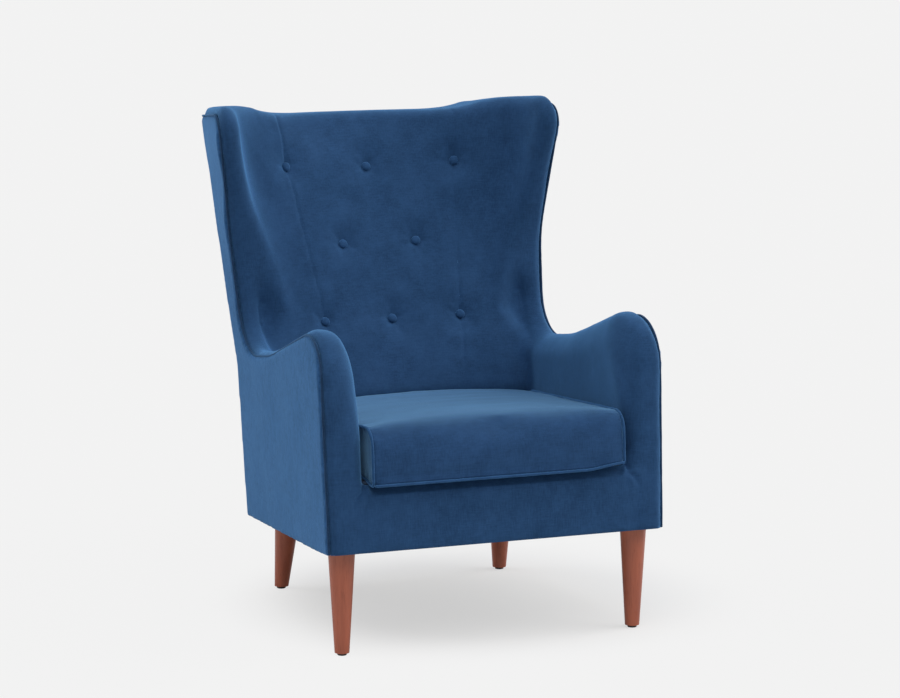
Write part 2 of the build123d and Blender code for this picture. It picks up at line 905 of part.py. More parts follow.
with BuildPart() as rear_leg_right:
    add(leg_body(rear_foot, rear_head))
rear_leg_right.part.label = "rear_leg_right"
export_step(rear_leg_right.part, "parts/rear_leg_right.step")

with BuildPart() as rear_leg_left:
    mirror(rear_leg_right.part, about=Plane.YZ)
rear_leg_left.part.label = "rear_leg_left"
export_step(rear_leg_left.part, "parts/rear_leg_left.step")

with BuildPart() as leg_bolts:
    for plane in (front_plane, rear_plane):
        with BuildSketch(plane.offset(-bolt_in_leg)):
            Circle(bolt / 2)
        extrude(amount=bolt_in_leg + bolt_in_frame)
    mirror(leg_bolts.part, about=Plane.YZ)
leg_bolts.part.label = "leg_bolts"
export_step(leg_bolts.part, "parts/leg_bolts.step")

with BuildPart() as leg_inserts:
    for plane in (front_plane, rear_plane):
        with BuildSketch(plane):
            Circle(insert / 2)
            Circle(bolt / 2 + fit, mode=Mode.SUBTRACT)
        extrude(amount=insert_length)
    with BuildSketch(Plane.YZ):
        with BuildLine():
            Polyline(
                (back(-far), base_z(-far)),
                (back(far), base_z(far)),
                (back(far), far),
                (back(-far), far),
                close=True,
            )
        make_face()
    extrude(amount=far, both=True, mode=Mode.INTERSECT)
    mirror(leg_inserts.part, about=Plane.YZ)
leg_inserts.part.label = "leg_inserts"
export_step(leg_inserts.part, "parts/leg_inserts.step")

with BuildPart() as leg_glides:
    for x, d in (front_foot, rear_foot):
        for sign in (-1, 1):
            with BuildSketch(Plane((sign * x, back(d), 0))):
                Circle(glide_width / 2)
            extrude(amount=glide_thick)
            fillet(leg_glides.edges(Select.LAST).sort_by(Axis.Z)[0], 1.5)
            with BuildSketch(Plane((sign * x, back(d), glide_thick))):
                Circle(stud / 2)
            extrude(amount=stud_length)
leg_glides.part.label = "leg_glides"
export_step(leg_glides.part, "parts/leg_glides.step")

# ---------------------------------------------------------------------------
# Deck: crossed elastic bands on the rails, a pad over them and cloth below.
# ---------------------------------------------------------------------------
band = 50.0                 # width of the bands

with BuildPart() as webbing_long:
    for x in (-210, -70, 70, 210):
        with BuildSketch(Plane.YZ.offset(x)):
            with BuildLine():
                deck_strip(long_web, webbing, apron_depth + 3, base_depth - rear_face - 3)
            make_face()
        extrude(amount=band / 2, both=True)
webbing_long.part.label = "webbing_long"
export_step(webbing_long.part, "parts/webbing_long.step")

with BuildPart() as webbing_cross:
    with BuildSketch(Plane.YZ):
        for d in (130, 250, 370, 490):
            with BuildLine():
                deck_strip(cross_web, webbing, d - band / 2, d + band / 2)
            make_face()
    extrude(amount=far, both=True)
    add(outer_form(side_in + gap, rear_face), mode=Mode.INTERSECT)
webbing_cross.part.label = "webbing_cross"
export_step(webbing_cross.part, "parts/webbing_cross.step")

with BuildPart() as deck_pad:
    with BuildSketch(Plane.YZ):
        with BuildLine():
            deck_strip(0, deck_thick, apron_depth + gap, base_depth)
        make_face()
    extrude(amount=far, both=True)
    add(between_posts.part, mode=Mode.INTERSECT)
deck_pad.part.label = "deck_pad"
export_step(deck_pad.part, "parts/deck_pad.step")

with BuildPart() as dust_cover:
    with BuildSketch(Plane.YZ):
        with BuildLine():
            start = apron_depth + gap + rail + gap
            end = rear_rail_start - gap
            Polyline(
                (back(start), base_z(start) + 1),
                (back(end), base_z(end) + 1),
                (back(end), base_z(end) + 3),
                (back(start), base_z(start) + 3),
                close=True,
            )
        make_face()
    extrude(amount=far, both=True)
    add(between_posts.part, mode=Mode.INTERSECT)
dust_cover.part.label = "dust_cover"
export_step(dust_cover.part, "parts/dust_cover.step")

# ---------------------------------------------------------------------------
# Seat cushion, drawn flat on the deck: x across, y to the rear, z off the deck.
# ---------------------------------------------------------------------------
cushion_play = 11.0         # between the cushion's welts and each arm
cushion_play_rear = 21.0    # and between the cushion and the back
cushion_width = space_width - 2 * cushion_play
cushion_rear = seat_back_depth - cushion_play_rear
cushion_flat = 330.0        # the middle of its rear is straight over this width
rear_taper = 26.0           # and its rear corners lie this far forward
cushion_thick = 108.0       # at its sides
cushion_crown = 10.0        # the middle is thicker by this much
nose_round = 42.0
cover = 1.5
tilt = radians(deck_fall)
deck_plane = Plane(
    (0, back(0), deck_z + gap),
    x_dir=(1, 0, 0),
    z_dir=(0, sin(tilt), cos(tilt)),
)
body_half = cushion_width / 2 - welt
body_front = -nose + welt


def cushion_body(inset):
    """The crowned cushion, set in on all sides."""
    half = body_half - inset
    front = body_front + inset
    rear = cushion_rear - inset
    low = inset
    high = cushion_thick - inset
    with BuildPart(deck_plane) as body:
        with BuildSketch(Plane(deck_plane.origin, x_dir=deck_plane.y_dir, z_dir=deck_plane.x_dir)):
            with BuildLine():
                FilletPolyline(
                    (front, low),
                    (front, high),
                    (mix(front, rear, 0.3), high + cushion_crown),
                    (rear, high + cushion_crown - 4),
                    (rear, low),
                    radius=[3, nose_round - inset, 600, 16, 3],
                    close=True,
                )
            make_face()
        extrude(amount=half, both=True)
        with BuildSketch(deck_plane):
            with BuildLine():
                FilletPolyline(
                    (-half, front - 1),
                    (half, front - 1),
                    (half, rear - rear_taper),
                    (cushion_flat / 2, rear),
                    (-cushion_flat / 2, rear),
                    (-half, rear - rear_taper),
                    radius=[0, 0, 14, 200, 200, 14],
                    close=True,
                )
            make_face()
        extrude(amount=far, both=True, mode=Mode.INTERSECT)
        with BuildSketch(Plane(deck_plane.origin, x_dir=deck_plane.x_dir, z_dir=-deck_plane.y_dir)):
            with BuildLine():
                Polyline((-half, high), (-half, low), (half, low), (half, high))
                ThreePointArc((half, high), (0, high + cushion_crown), (-half, high))
            make_face()
        extrude(amount=far, both=True, mode=Mode.INTERSECT)
    return body.part


with BuildPart() as cushion_cover:
    add(cushion_body(0))
    add(cushion_body(cover), mode=Mode.SUBTRACT)
cushion_cover.part.label = "cushion_cover"
export_step(cushion_cover.part, "parts/cushion_cover.step")

with BuildPart() as cushion_foam:
    add(cushion_body(cover + gap))
cushion_foam.part.label = "cushion_foam"
export_step(cushion_foam.part, "parts/cushion_foam.step")

zip_length = 300.0
zip_width = 24.0
slider_width = 9.0
slider_length = 14.0
slider_thick = 4.0
zip_z = cushion_thick / 2
zip_plane = Plane(
    deck_plane.origin + deck_plane.y_dir * (cushion_rear + gap) + deck_plane.z_dir * zip_z,
    x_dir=(1, 0, 0),
    z_dir=deck_plane.y_dir,
)

with BuildPart() as cushion_zip:
    with BuildSketch(zip_plane):
        Rectangle(zip_length, zip_width)
    extrude(amount=1.5)
cushion_zip.part.label = "cushion_zip"
export_step(cushion_zip.part, "parts/cushion_zip.step")

with BuildPart() as zip_slider:
    with BuildSketch(zip_plane.offset(1.5 + gap)):
        with Locations((-zip_length / 2 + slider_length, 0)):
            RectangleRounded(slider_length, slider_width, 2)
    extrude(amount=slider_thick)
zip_slider.part.label = "zip_slider"
export_step(zip_slider.part, "parts/zip_slider.step")

# The cushion's welts run round its side panels and along its bottom front edge.
welt_x = body_half + welt / 2 + 0.1
welt_inset = welt / 2 - 1.5
welt_low = welt / 2 + 0.5
welt_high = cushion_thick - welt_inset

with BuildPart() as cushion_piping_right:
    with BuildLine(
        Plane(
            deck_plane.origin + deck_plane.x_dir * welt_x,
            x_dir=deck_plane.y_dir,
            z_dir=deck_plane.x_dir,
        )
    ) as loop:
        FilletPolyline(
            (body_front + welt_inset, welt_low),
            (body_front + welt_inset, welt_high),
            (cushion_rear - rear_taper - welt_inset - 6, welt_high),
            (cushion_rear - rear_taper - welt_inset - 6, welt_low),
            radius=[6, nose_round - 4, 14, 6],
            close=True,
        )
    start = loop.line.edges().sort_by(SortBy.LENGTH)[-1]
    with BuildSketch(Plane(start @ 0.5, z_dir=start % 0.5)):
        Circle(welt / 2)
    sweep(path=loop.line)
cushion_piping_right.part.label = "cushion_piping_right"
export_step(cushion_piping_right.part, "parts/cushion_piping_right.step")

with BuildPart() as cushion_piping_left:
    mirror(cushion_piping_right.part, about=Plane.YZ)
cushion_piping_left.part.label = "cushion_piping_left"
export_step(cushion_piping_left.part, "parts/cushion_piping_left.step")

with BuildPart() as cushion_piping_front:
    with BuildSketch(Plane(
        deck_plane.origin + deck_plane.y_dir * (body_front - welt / 2 - 0.1) + deck_plane.z_dir * (welt / 2 + 1),
        z_dir=(1, 0, 0),
    )):
        Circle(welt / 2)
    extrude(amount=body_half, both=True)
cushion_piping_front.part.label = "cushion_piping_front"
export_step(cushion_piping_front.part, "parts/cushion_piping_front.step")


# ---------------------------------------------------------------------------
# Side welts, along the side outline between the outside panels and the padding.
# ---------------------------------------------------------------------------
welt_out = welt / 2 + 0.8           # the welt's middle runs this far outside the outline
welt_in = 3.5                       # and this far inside the outside surface


def offset_corners(points, amount):
    """An open path of (depth, height, radius), moved to its left by an amount."""
    moved = []
    for i, (d, z, r) in enumerate(points):
        before = points[max(i - 1, 0)]
        after = points[min(i + 1, len(points) - 1)]
        first = Vector(d - before[0], z - before[1])
        second = Vector(after[0] - d, after[1] - z)
        first = first.normalized() if first.length > 0 else second.normalized()
        second = second.normalized() if second.length > 0 else first
        turn = first.X * second.Y - first.Y * second.X
        left = Vector(-first.Y - second.Y, first.X + second.X).normalized()
        reach = amount / (left.X * -first.Y + left.Y * first.X)
        radius = 0 if r == 0 else r - amount * (1 if turn > 0 else -1)
        moved.append((d + left.X * reach, z + left.Y * reach, radius))
    return moved


with BuildPart() as side_piping_right:
    with BuildLine() as path:
        outline = side_corners()[:7]
        swell = [(arm_lean * share, mix(base_front_z, arm_z + 34, share), 200) for share in (0.25, 0.5, 0.7)]
        corners = offset_corners(outline[:1] + swell + outline[1:], welt_out)
        points = [(outside_x(d, z) - welt_in, back(d), z) for d, z, r in corners]
        FilletPolyline(*points, radius=[r for d, z, r in corners[1:-1]])
    with BuildSketch(Plane(path.line @ 0, z_dir=path.line % 0)):
        Circle(welt / 2)
    sweep(path=path.line)
side_piping_right.part.label = "side_piping_right"
export_step(side_piping_right.part, "parts/side_piping_right.step")

with BuildPart() as side_piping_left:
    mirror(side_piping_right.part, about=Plane.YZ)
side_piping_left.part.label = "side_piping_left"
export_step(side_piping_left.part, "parts/side_piping_left.step")
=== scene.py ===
# %% [markdown]
# # A wing armchair in blue velvet
#
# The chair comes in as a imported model: every wooden rail, pad, leg and screw is a closed
# solid that already stands in its right place. This lesson dresses it. The wood keeps its
# solids and only gets a finish. Everything soft is made again as a fuller shape: the seat
# cushion is blown up by a cloth simulation, and the tight covers get their buttons, seams
# and rolled edges.
#
# We begin by loading the solids. Nothing here ever moves them, so each new piece can take
# its place from them.

from math import cos, pi, radians, sin

import bmesh
import bpy
import numpy as np
from mathutils import Matrix, Vector, bvhtree, kdtree, noise


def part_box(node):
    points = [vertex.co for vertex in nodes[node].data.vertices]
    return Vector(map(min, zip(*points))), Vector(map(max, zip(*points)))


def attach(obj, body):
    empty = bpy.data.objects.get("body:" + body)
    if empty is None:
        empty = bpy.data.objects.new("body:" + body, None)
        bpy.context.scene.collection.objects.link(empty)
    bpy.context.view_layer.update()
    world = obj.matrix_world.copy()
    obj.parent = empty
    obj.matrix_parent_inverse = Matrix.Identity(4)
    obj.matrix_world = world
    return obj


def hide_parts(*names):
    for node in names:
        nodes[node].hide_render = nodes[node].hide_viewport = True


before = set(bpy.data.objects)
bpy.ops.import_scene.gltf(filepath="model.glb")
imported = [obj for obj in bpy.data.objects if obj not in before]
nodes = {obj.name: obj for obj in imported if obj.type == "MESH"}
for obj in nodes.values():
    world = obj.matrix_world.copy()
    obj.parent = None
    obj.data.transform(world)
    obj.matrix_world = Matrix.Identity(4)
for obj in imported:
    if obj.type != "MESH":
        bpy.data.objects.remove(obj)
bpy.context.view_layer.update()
scene = bpy.context.scene

# %% [markdown]
# ## Camera
#
# A long lens a good way off keeps the legs almost parallel, as in a catalogue. The camera
# stands in front and to the left, higher than the chair's back, and looks slightly down.
# It is given by where it stands and two angles, which is easier to correct by hand than a
# target would be.

# %% Camera
turn, dip = radians(20.99), radians(9.38)
camera = bpy.data.objects.new("camera", bpy.data.cameras.new("camera"))
camera.data.lens = 128
camera.data.sensor_width = 36
camera.location = (-2.317, -6.199, 1.629)
camera.rotation_euler = (pi / 2 - dip, 0, -turn)
scene.collection.objects.link(camera)
scene.camera = camera
scene.view_settings.view_transform = "Standard"
print("camera at", tuple(camera.location), "lens", camera.data.lens)

# %% [markdown]
# ## Writing materials as sums
#
# A procedural finish is a formula, such as "base colour plus a little noise". Wiring that
# by hand takes many lines, so one small class wraps a socket and lets Python's own signs
# add the Math nodes. Colours must not go through a Math node, which would turn them grey,
# so they have a `mixed` method of their own. Every node comes from the one method `node`,
# which sets the node's settings first and its sockets after that.

# %% A socket that can be used in sums
class Value:
    """One output socket, usable with + - * and as the value of another socket."""

    def __init__(self, owner, socket):
        self.owner, self.socket = owner, socket

    def sibling(self, name):
        """Another output of the same node."""
        return Value(self.owner, self.socket.node.outputs[name])

    def __add__(self, other):
        return self.owner.maths("ADD", self, other)

    def __sub__(self, other):
        return self.owner.maths("SUBTRACT", self, other)

    def __mul__(self, other):
        return self.owner.maths("MULTIPLY", self, other)

    def __rsub__(self, other):
        return self.owner.maths("SUBTRACT", other, self)

    __radd__, __rmul__ = __add__, __mul__


def set_stops(elements, stops):
    """Gives a ramp its stops. Each is a place and a shade of grey."""
    while len(elements) < len(stops):
        elements.new(0.5)
    for element, (spot, shade) in zip(elements, stops):
        element.position = spot
        element.color = (shade, shade, shade, 1)


class Nodes:
    """A node tree, with the one method that adds nodes to it."""

    def __init__(self, tree):
        self.tree = tree

    def node(self, kind, settings=None, out=0, **sockets):
        """A new node. Sockets are given as name=value, or s0, s1 ... by their number."""
        made = self.tree.nodes.new(kind)
        for name, value in (settings or {}).items():
            if name == "stops":
                set_stops(made.color_ramp.elements, value)
            else:
                setattr(made, name, value)
        for name, value in sockets.items():
            key = int(name[1:]) if name[1:].isdigit() else name.replace("_", " ")
            self.feed(made.inputs[key], value)
        return Value(self, made.outputs[out])

    def feed(self, socket, value):
        if isinstance(value, Value):
            self.tree.links.new(value.socket, socket)
        else:
            socket.default_value = value

    def maths(self, operation, *values):
        sockets = {f"s{i}": value for i, value in enumerate(values)}
        return self.node("ShaderNodeMath", {"operation": operation}, **sockets)


print("sums ready")

# %% A finish
class Finish(Nodes):
    """A material with its Principled shader and the nodes that feed it."""

    def __init__(self, name, **plain):
        self.material = bpy.data.materials.new(name)
        self.material.use_nodes = True
        super().__init__(self.material.node_tree)
        self.shader = self.tree.nodes["Principled BSDF"]
        for socket, value in plain.items():
            self.shader.inputs[socket.replace("_", " ")].default_value = value
        self.place = self.node("ShaderNodeTexCoord", out="Object")

    def mixed(self, share, first, second):
        """A colour between two colours."""
        return self.node("ShaderNodeMix", {"data_type": "RGBA"}, out=2,
                         s0=share, s6=first, s7=second)

    def stretched(self, x, y, z):
        """Object coordinates scaled along each axis, in grains per metre."""
        return self.node("ShaderNodeMapping", Vector=self.place, Scale=(x, y, z))

    def noise(self, place, scale=1.0, detail=2.0, roughness=0.5):
        return self.node("ShaderNodeTexNoise", Vector=place, Scale=scale, Detail=detail,
                         Roughness=roughness)

    def ramp(self, value, *stops):
        """Shades of grey that change with a value."""
        return self.node("ShaderNodeValToRGB", {"stops": stops}, Fac=value)

    def set(self, **sockets):
        """Feeds sockets of the shader."""
        for name, value in sockets.items():
            self.feed(self.shader.inputs[name.replace("_", " ")], value)

    def bumped(self, height, distance, strength=1.0):
        return self.node("ShaderNodeBump", Height=height, Distance=distance, Strength=strength)


def scaled(colour, factor, extra=0.0):
    """A colour made darker or paler, with its alpha."""
    return tuple(min(1, c * factor + extra) for c in colour) + (1,)


print("finishes can be made")

# %% [markdown]
# ## Velvet
#
# Velvet is dark where we look straight into its pile and pale where we look along it.
# That is what the shader's sheen does, so sheen is set once as a plain number. What
# varies from place to place is the nap: soft clouds where hands have brushed it, and a
# faint slub of threads in both directions. All of it is written in object coordinates,
# so the nap does not care how a piece was meshed and runs on across a seam. The outside
# panels show the slub most, as fine upright marks, and are given a paler blue, which is
# painted light for their lit sides. The side welts are given a darker blue, which is
# painted shade for their shaded side, and the cushion's pile catches the most light.

# %% Velvet
def velvet(name, base, sheen, across=60.0, along=60.0, slub=0.5, tint=(0.20, 0.52, 1.0)):
    """A velvet whose slub has this many threads per metre across and up the cloth."""
    cloth = Finish(name, Sheen_Weight=sheen, Sheen_Roughness=0.42,
                   Sheen_Tint=tint + (1,), Specular_IOR_Level=0.12)
    clouds = cloth.noise(cloth.stretched(9, 9, 9), detail=4, roughness=0.62)
    patches = cloth.noise(cloth.stretched(42, 42, 30), detail=3, roughness=0.6)
    weft = cloth.noise(cloth.stretched(across, across, along * 7), detail=2)
    warp = cloth.noise(cloth.stretched(across * 7, across * 7, along), detail=2)
    pile = cloth.noise(cloth.stretched(1500, 1500, 1500), detail=1)
    brushed = (clouds - 0.5) * 0.9 + (patches - 0.5) * 0.9 + (pile - 0.5) * 0.3
    lift = brushed + (weft - 0.5) * (slub * 1.5) + (warp - 0.5) * (slub * 1.8)
    share = cloth.node("ShaderNodeClamp", s0=lift + 0.5)
    cloth.set(Base_Color=cloth.mixed(share, scaled(base, 0.74), scaled(base, 1.30, 0.004)),
              Roughness=0.86 - (clouds - 0.5) * 0.2)
    cloth.set(Normal=cloth.bumped(weft * 0.4 + warp * 0.5 + pile * 0.6, 0.0006, 0.5))
    return cloth


def blue(share):
    """The chair's blue, darker or paler."""
    return tuple(c * share for c in (0.0106, 0.0424, 0.1120))


cover_velvet = velvet("cover_velvet", blue(1.0), 0.75)
# painted light: the outside panels get a paler blue than the cover, for their lit sides; their slub is
# the cloth's own
painted_light_outside_velvet = velvet("painted_light_outside_velvet", blue(1.35), 0.50, across=130, along=14, slub=1.2)
cushion_velvet = velvet("cushion_velvet", (0.0090, 0.0385, 0.1080), 1.0, tint=(0.29, 0.62, 1.0))
# painted shade: the side welts get a darker blue than the cover, for their shaded side
painted_shade_welt_velvet = velvet("painted_shade_welt_velvet", blue(0.60), 0.45)
cushion_welt_velvet = velvet("cushion_welt_velvet", blue(1.15), 0.80)
button_velvet = velvet("button_velvet", blue(1.10), 0.50)
print("velvets:", [m.name for m in bpy.data.materials if m.name.endswith("velvet")])

# %% [markdown]
# ## Wood, metal and the plain cloths
#
# The legs are turned from a close-grained hardwood under a satin lacquer. Their grain is
# noise drawn out along the leg, because the coordinates are stretched far less along Z
# than across it. The lacquer is a coat over it. The hidden frame is raw softwood and ply,
# which the same function makes without the coat.

# %% Wood
def wood(name, dark, pale, grain, roughness, coat, open_pores=0.75):
    """A wood whose grain has this many streaks per metre along x, y and z."""
    timber = Finish(name, Coat_Weight=coat, Coat_Roughness=0.22, Specular_IOR_Level=0.45)
    figure = timber.noise(timber.stretched(*grain), detail=5, roughness=0.62)
    pores = timber.noise(timber.stretched(*(g * 6 for g in grain)), detail=2)
    bands = timber.ramp(figure, (0.32, 0.0), (0.68, 1.0))
    pits = timber.ramp(pores, (0.30, 0.0), (0.44, 1.0))
    shade = timber.mixed(bands, scaled(dark, 1), scaled(pale, 1))
    pitted = timber.mixed(pits, scaled(dark, 0.62), shade)
    timber.set(Base_Color=timber.mixed(open_pores, shade, pitted),
               Roughness=roughness + (1 - pits) * 0.12 + (figure - 0.5) * 0.1)
    timber.set(Normal=timber.bumped(pits + figure * 0.3, 0.0002, 0.35))
    return timber


raw_dark, raw_pale = (0.42, 0.28, 0.16), (0.62, 0.46, 0.30)
leg_wood = wood("leg_wood", (0.256, 0.056, 0.023), (0.338, 0.082, 0.036), (70, 70, 4.5),
                roughness=0.40, coat=0.18, open_pores=0.4)
rail_wood = wood("rail_wood", raw_dark, raw_pale, (12, 160, 160), roughness=0.62, coat=0.0)
post_wood = wood("post_wood", raw_dark, raw_pale, (160, 160, 12), roughness=0.62, coat=0.0)
print("woods: legs, rails and posts")

# %% [markdown]
# The smaller finishes are steel for the screws, black plastic for the glides, and plain
# cloths for the parts that nobody sits on. The cloths share one weave: two sine waves at
# right angles would look printed, so the threads are stretched noise as on the velvet.

# %% Metal, plastic and plain cloth
def metal(name, colour, roughness):
    plate = Finish(name, Metallic=1.0)
    scratches = plate.noise(plate.stretched(900, 900, 60), detail=3)
    plate.set(Base_Color=plate.mixed(scratches, scaled(colour, 0.8), scaled(colour, 1)),
              Roughness=roughness + (scratches - 0.5) * 0.25)
    plate.set(Normal=plate.bumped(scratches, 0.00005, 0.3))
    return plate


def plain_cloth(name, colour, threads, roughness=0.9):
    """A cloth with this many threads per metre and no pile."""
    cloth = Finish(name, Sheen_Weight=0.1, Sheen_Roughness=0.5)
    weft = cloth.noise(cloth.stretched(threads / 8, threads, threads), detail=2)
    warp = cloth.noise(cloth.stretched(threads, threads / 8, threads), detail=2)
    weave = weft * 0.5 + warp * 0.5
    cloth.set(Base_Color=cloth.mixed(weave, scaled(colour, 0.55), scaled(colour, 1.4)),
              Roughness=roughness + (weave - 0.5) * 0.1)
    cloth.set(Normal=cloth.bumped(weave, 0.0005, 0.6))
    return cloth


def plastic(name, colour, roughness):
    moulded = Finish(name, Specular_IOR_Level=0.4)
    mottle = moulded.noise(moulded.stretched(700, 700, 700), detail=2)
    moulded.set(Base_Color=moulded.mixed(mottle, scaled(colour, 0.7), scaled(colour, 1)),
                Roughness=roughness + (mottle - 0.5) * 0.2)
    moulded.set(Normal=moulded.bumped(mottle, 0.0001, 0.4))
    return moulded


zinc = metal("zinc_plated_steel", (0.62, 0.62, 0.64), 0.34)
brass = metal("zip_metal", (0.60, 0.47, 0.27), 0.38)
black_plastic = plastic("black_plastic", (0.018, 0.016, 0.015), 0.5)
band_cloth = plain_cloth("webbing_cloth", (0.13, 0.10, 0.07), 420)
dust_cloth = plain_cloth("dust_cloth", (0.022, 0.022, 0.024), 700)
deck_cloth = plain_cloth("deck_cloth", (0.020, 0.050, 0.105), 500)
tape_cloth = plain_cloth("zip_tape_cloth", (0.015, 0.038, 0.085), 900)
print("finishes in all:", len(bpy.data.materials))

# %% [markdown]
# ## Copies to work on
#
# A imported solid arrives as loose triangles, each with its own corners. A copy of it is
# merged first, so that its faces know their neighbours. Covers are then remeshed into
# even little squares, because a smooth push on a surface needs points everywhere, and not
# only where the solid had edges. Points are read and moved as whole arrays, which is far
# faster than a loop over a hundred thousand of them.

# %% Helpers for meshes
def merged(*names):
    """A bmesh of copies of the named solids, with their doubled corners merged."""
    shape = bmesh.new()
    for name in names:
        shape.from_mesh(nodes[name].data)
    bmesh.ops.remove_doubles(shape, verts=shape.verts, dist=1e-5)
    shape.normal_update()
    return shape


def new_piece(name, shape, finish, body="chair"):
    """A finished object made from a bmesh, which rides on a body of the chair."""
    mesh = bpy.data.meshes.new(name)
    shape.to_mesh(mesh)
    shape.free()
    mesh.materials.append(finish.material)
    mesh.shade_smooth()
    piece = bpy.data.objects.new(name, mesh)
    scene.collection.objects.link(piece)
    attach(piece, body)
    return piece


def applied(piece, kind, **settings):
    """Adds a modifier to a piece and makes its result the piece's mesh."""
    modifier = piece.modifiers.new(kind, kind)
    for name, value in settings.items():
        setattr(modifier, name, value)
    bpy.context.view_layer.update()
    ready = piece.evaluated_get(bpy.context.evaluated_depsgraph_get())
    mesh = bpy.data.meshes.new_from_object(ready)
    piece.modifiers.clear()
    old, piece.data = piece.data, mesh
    bpy.data.meshes.remove(old)
    piece.data.shade_smooth()
    return piece


def remeshed(piece, size, smoothing=4):
    """Even squares of this size, with the steps that they leave smoothed away."""
    applied(piece, "REMESH", mode="VOXEL", voxel_size=size)
    return applied(piece, "SMOOTH", factor=0.5, iterations=smoothing)


def points_of(piece):
    """The vertices and their normals as two arrays."""
    count = len(piece.data.vertices)
    spots, normals = np.zeros(count * 3), np.zeros(count * 3)
    piece.data.vertices.foreach_get("co", spots)
    piece.data.vertices.foreach_get("normal", normals)
    return spots.reshape(-1, 3), normals.reshape(-1, 3)


def move_points(piece, spots):
    piece.data.vertices.foreach_set("co", spots.ravel())
    piece.data.update()


def smooth_step(low, high, value):
    """0 below low, 1 above high, and a smooth rise between them."""
    share = np.clip((value - low) / (high - low), 0, 1)
    return share * share * (3 - 2 * share)


def waves(spots, size, seed):
    """Smooth noise between about -1 and 1, one value for each point."""
    shift = Vector((seed * 7.3, seed * 3.1, seed * 5.7))
    return np.array([noise.noise(Vector(p) / size + shift) for p in spots])


square = 0.004
print("cover squares:", square * 1000, "mm")

# %% [markdown]
# ## Floor and light
#
# The chair stands on a pale seamless floor under a very wide soft light from above and
# two weaker ones from its sides. Wide suns are used because their light is the
# same everywhere, so the floor stays even far behind the chair. The floor mixes a plain
# glow into what the camera sees: less of it under the chair, where that keeps a soft
# shadow, and almost nothing else further out, where floor and backdrop are one white.

# %% Floor
studio_white = (0.888, 0.888, 0.888, 1)
under_chair = (0.12, -0.05, 0)          # middle of the shadow
ground = bmesh.new()
bmesh.ops.create_grid(ground, x_segments=1, y_segments=1, size=60)
floor_mesh = bpy.data.meshes.new("floor")
ground.to_mesh(floor_mesh)
ground.free()
floor = bpy.data.objects.new("floor", floor_mesh)
scene.collection.objects.link(floor)

floor_paint = Finish("floor_paint", Roughness=1.0, Specular_IOR_Level=0.0)
floor_paint.set(Base_Color=(0.705, 0.705, 0.705, 1))
seen = floor_paint.node("ShaderNodeLightPath", out="Is Camera Ray")
away = floor_paint.node("ShaderNodeVectorMath", {"operation": "DISTANCE"}, out=1,
                        s0=floor_paint.place, s1=under_chair)
share = floor_paint.node("ShaderNodeMapRange", {"interpolation_type": "SMOOTHSTEP"}, Value=away,
                         From_Min=0.30, From_Max=0.60, To_Min=0.62, To_Max=0.97)
glow = floor_paint.node("ShaderNodeEmission", Color=studio_white, Strength=1.0)
both = floor_paint.node("ShaderNodeMixShader", s0=seen * share,
                        s1=Value(floor_paint, floor_paint.shader.outputs[0]), s2=glow)
floor_paint.feed(floor_paint.tree.nodes["Material Output"].inputs["Surface"], both)
floor_mesh.materials.append(floor_paint.material)
print("floor ready")

# %% [markdown]
# The room's own light is a plain world. Rays that come from the camera, a gloss or a
# glass see a backdrop as white as the floor's glow, and all others see a weaker white,
# which fills the shadows without flattening them.

# %% Lights
def sun(name, direction, strength, width):
    """A wide soft light that shines along a direction."""
    lamp = bpy.data.objects.new(name, bpy.data.lights.new(name, "SUN"))
    lamp.data.energy = strength
    lamp.data.angle = radians(width)
    lamp.rotation_euler = Vector(direction).to_track_quat("-Z", "Y").to_euler()
    scene.collection.objects.link(lamp)


sun("ceiling", (0.12, 0.30, -1.0), 2.20, 75)
sun("right_window", (-0.90, 0.26, -0.62), 1.85, 55)
sun("left_window", (0.92, -0.46, -0.50), 0.92, 45)

world = bpy.data.worlds.new("studio")
scene.world = world
world.use_nodes = True
sky = Nodes(world.node_tree)
sky.tree.nodes.remove(sky.tree.nodes["Background"])
seen = sky.node("ShaderNodeLightPath", out="Is Camera Ray")
direct = sky.maths("MAXIMUM", seen, seen.sibling("Is Glossy Ray"))
direct = sky.maths("MAXIMUM", direct, seen.sibling("Is Transmission Ray"))
room = sky.node("ShaderNodeBackground", Color=(1, 1, 1, 1), Strength=0.22)
backdrop = sky.node("ShaderNodeBackground", Color=studio_white, Strength=1.0)
blend = sky.node("ShaderNodeMixShader", s0=direct, s1=room, s2=backdrop)
sky.feed(sky.tree.nodes["World Output"].inputs["Surface"], blend)

# %% [markdown]
# ## Measuring the buttons
#
# Eight covered buttons pull the inside back in. Where each one sits, and which way it
# faces, is measured from the small solids: a button's middle is the middle of its box,
# and it faces along the direction in which its corners spread least. The rightmost button
# of the top row and of the bottom row are kept by name, because a seam passes through both.

# %% Where the buttons sit
def islands(name):
    """The corners of each separate solid of a node, as arrays."""
    shape = merged(name)
    left, found = set(shape.verts), []
    while left:
        group, to_visit = set(), [left.pop()]
        while to_visit:
            vertex = to_visit.pop()
            group.add(vertex)
            for edge in vertex.link_edges:
                other = edge.other_vert(vertex)
                if other in left:
                    left.discard(other)
                    to_visit.append(other)
        found.append(np.array([v.co for v in group]))
    shape.free()
    return found


button_spots = []
for corners in islands("back_buttons"):
    middle = (corners.max(0) + corners.min(0)) / 2
    facing = np.linalg.svd(corners - corners.mean(0), full_matrices=False)[2][2]
    facing = facing * (1 if facing[1] < 0 else -1)
    button_spots.append((Vector(middle), Vector(facing)))
button_spots.sort(key=lambda spot: (-round(spot[0].z, 1), spot[0].x))
top_button = [middle for middle, way in button_spots if middle.z > 0.85][-1]
low_button = [middle for middle, way in button_spots if middle.z < 0.62][-1]
print("buttons at", [tuple(round(c, 3) for c in spot[0]) for spot in button_spots])

# %% [markdown]
# ## A gauge for the edge of the sides
#
# Arms and wings are rolled over an edge that follows the S-shaped side panel. To shape
# that roll we must know, for any point, how far it lies inside the outline. The gauge
# samples the rim faces of the side panel, each with the way it faces, and answers with
# the nearest one. The open rim leaves out the underside and the rear edge, which have no
# roll.

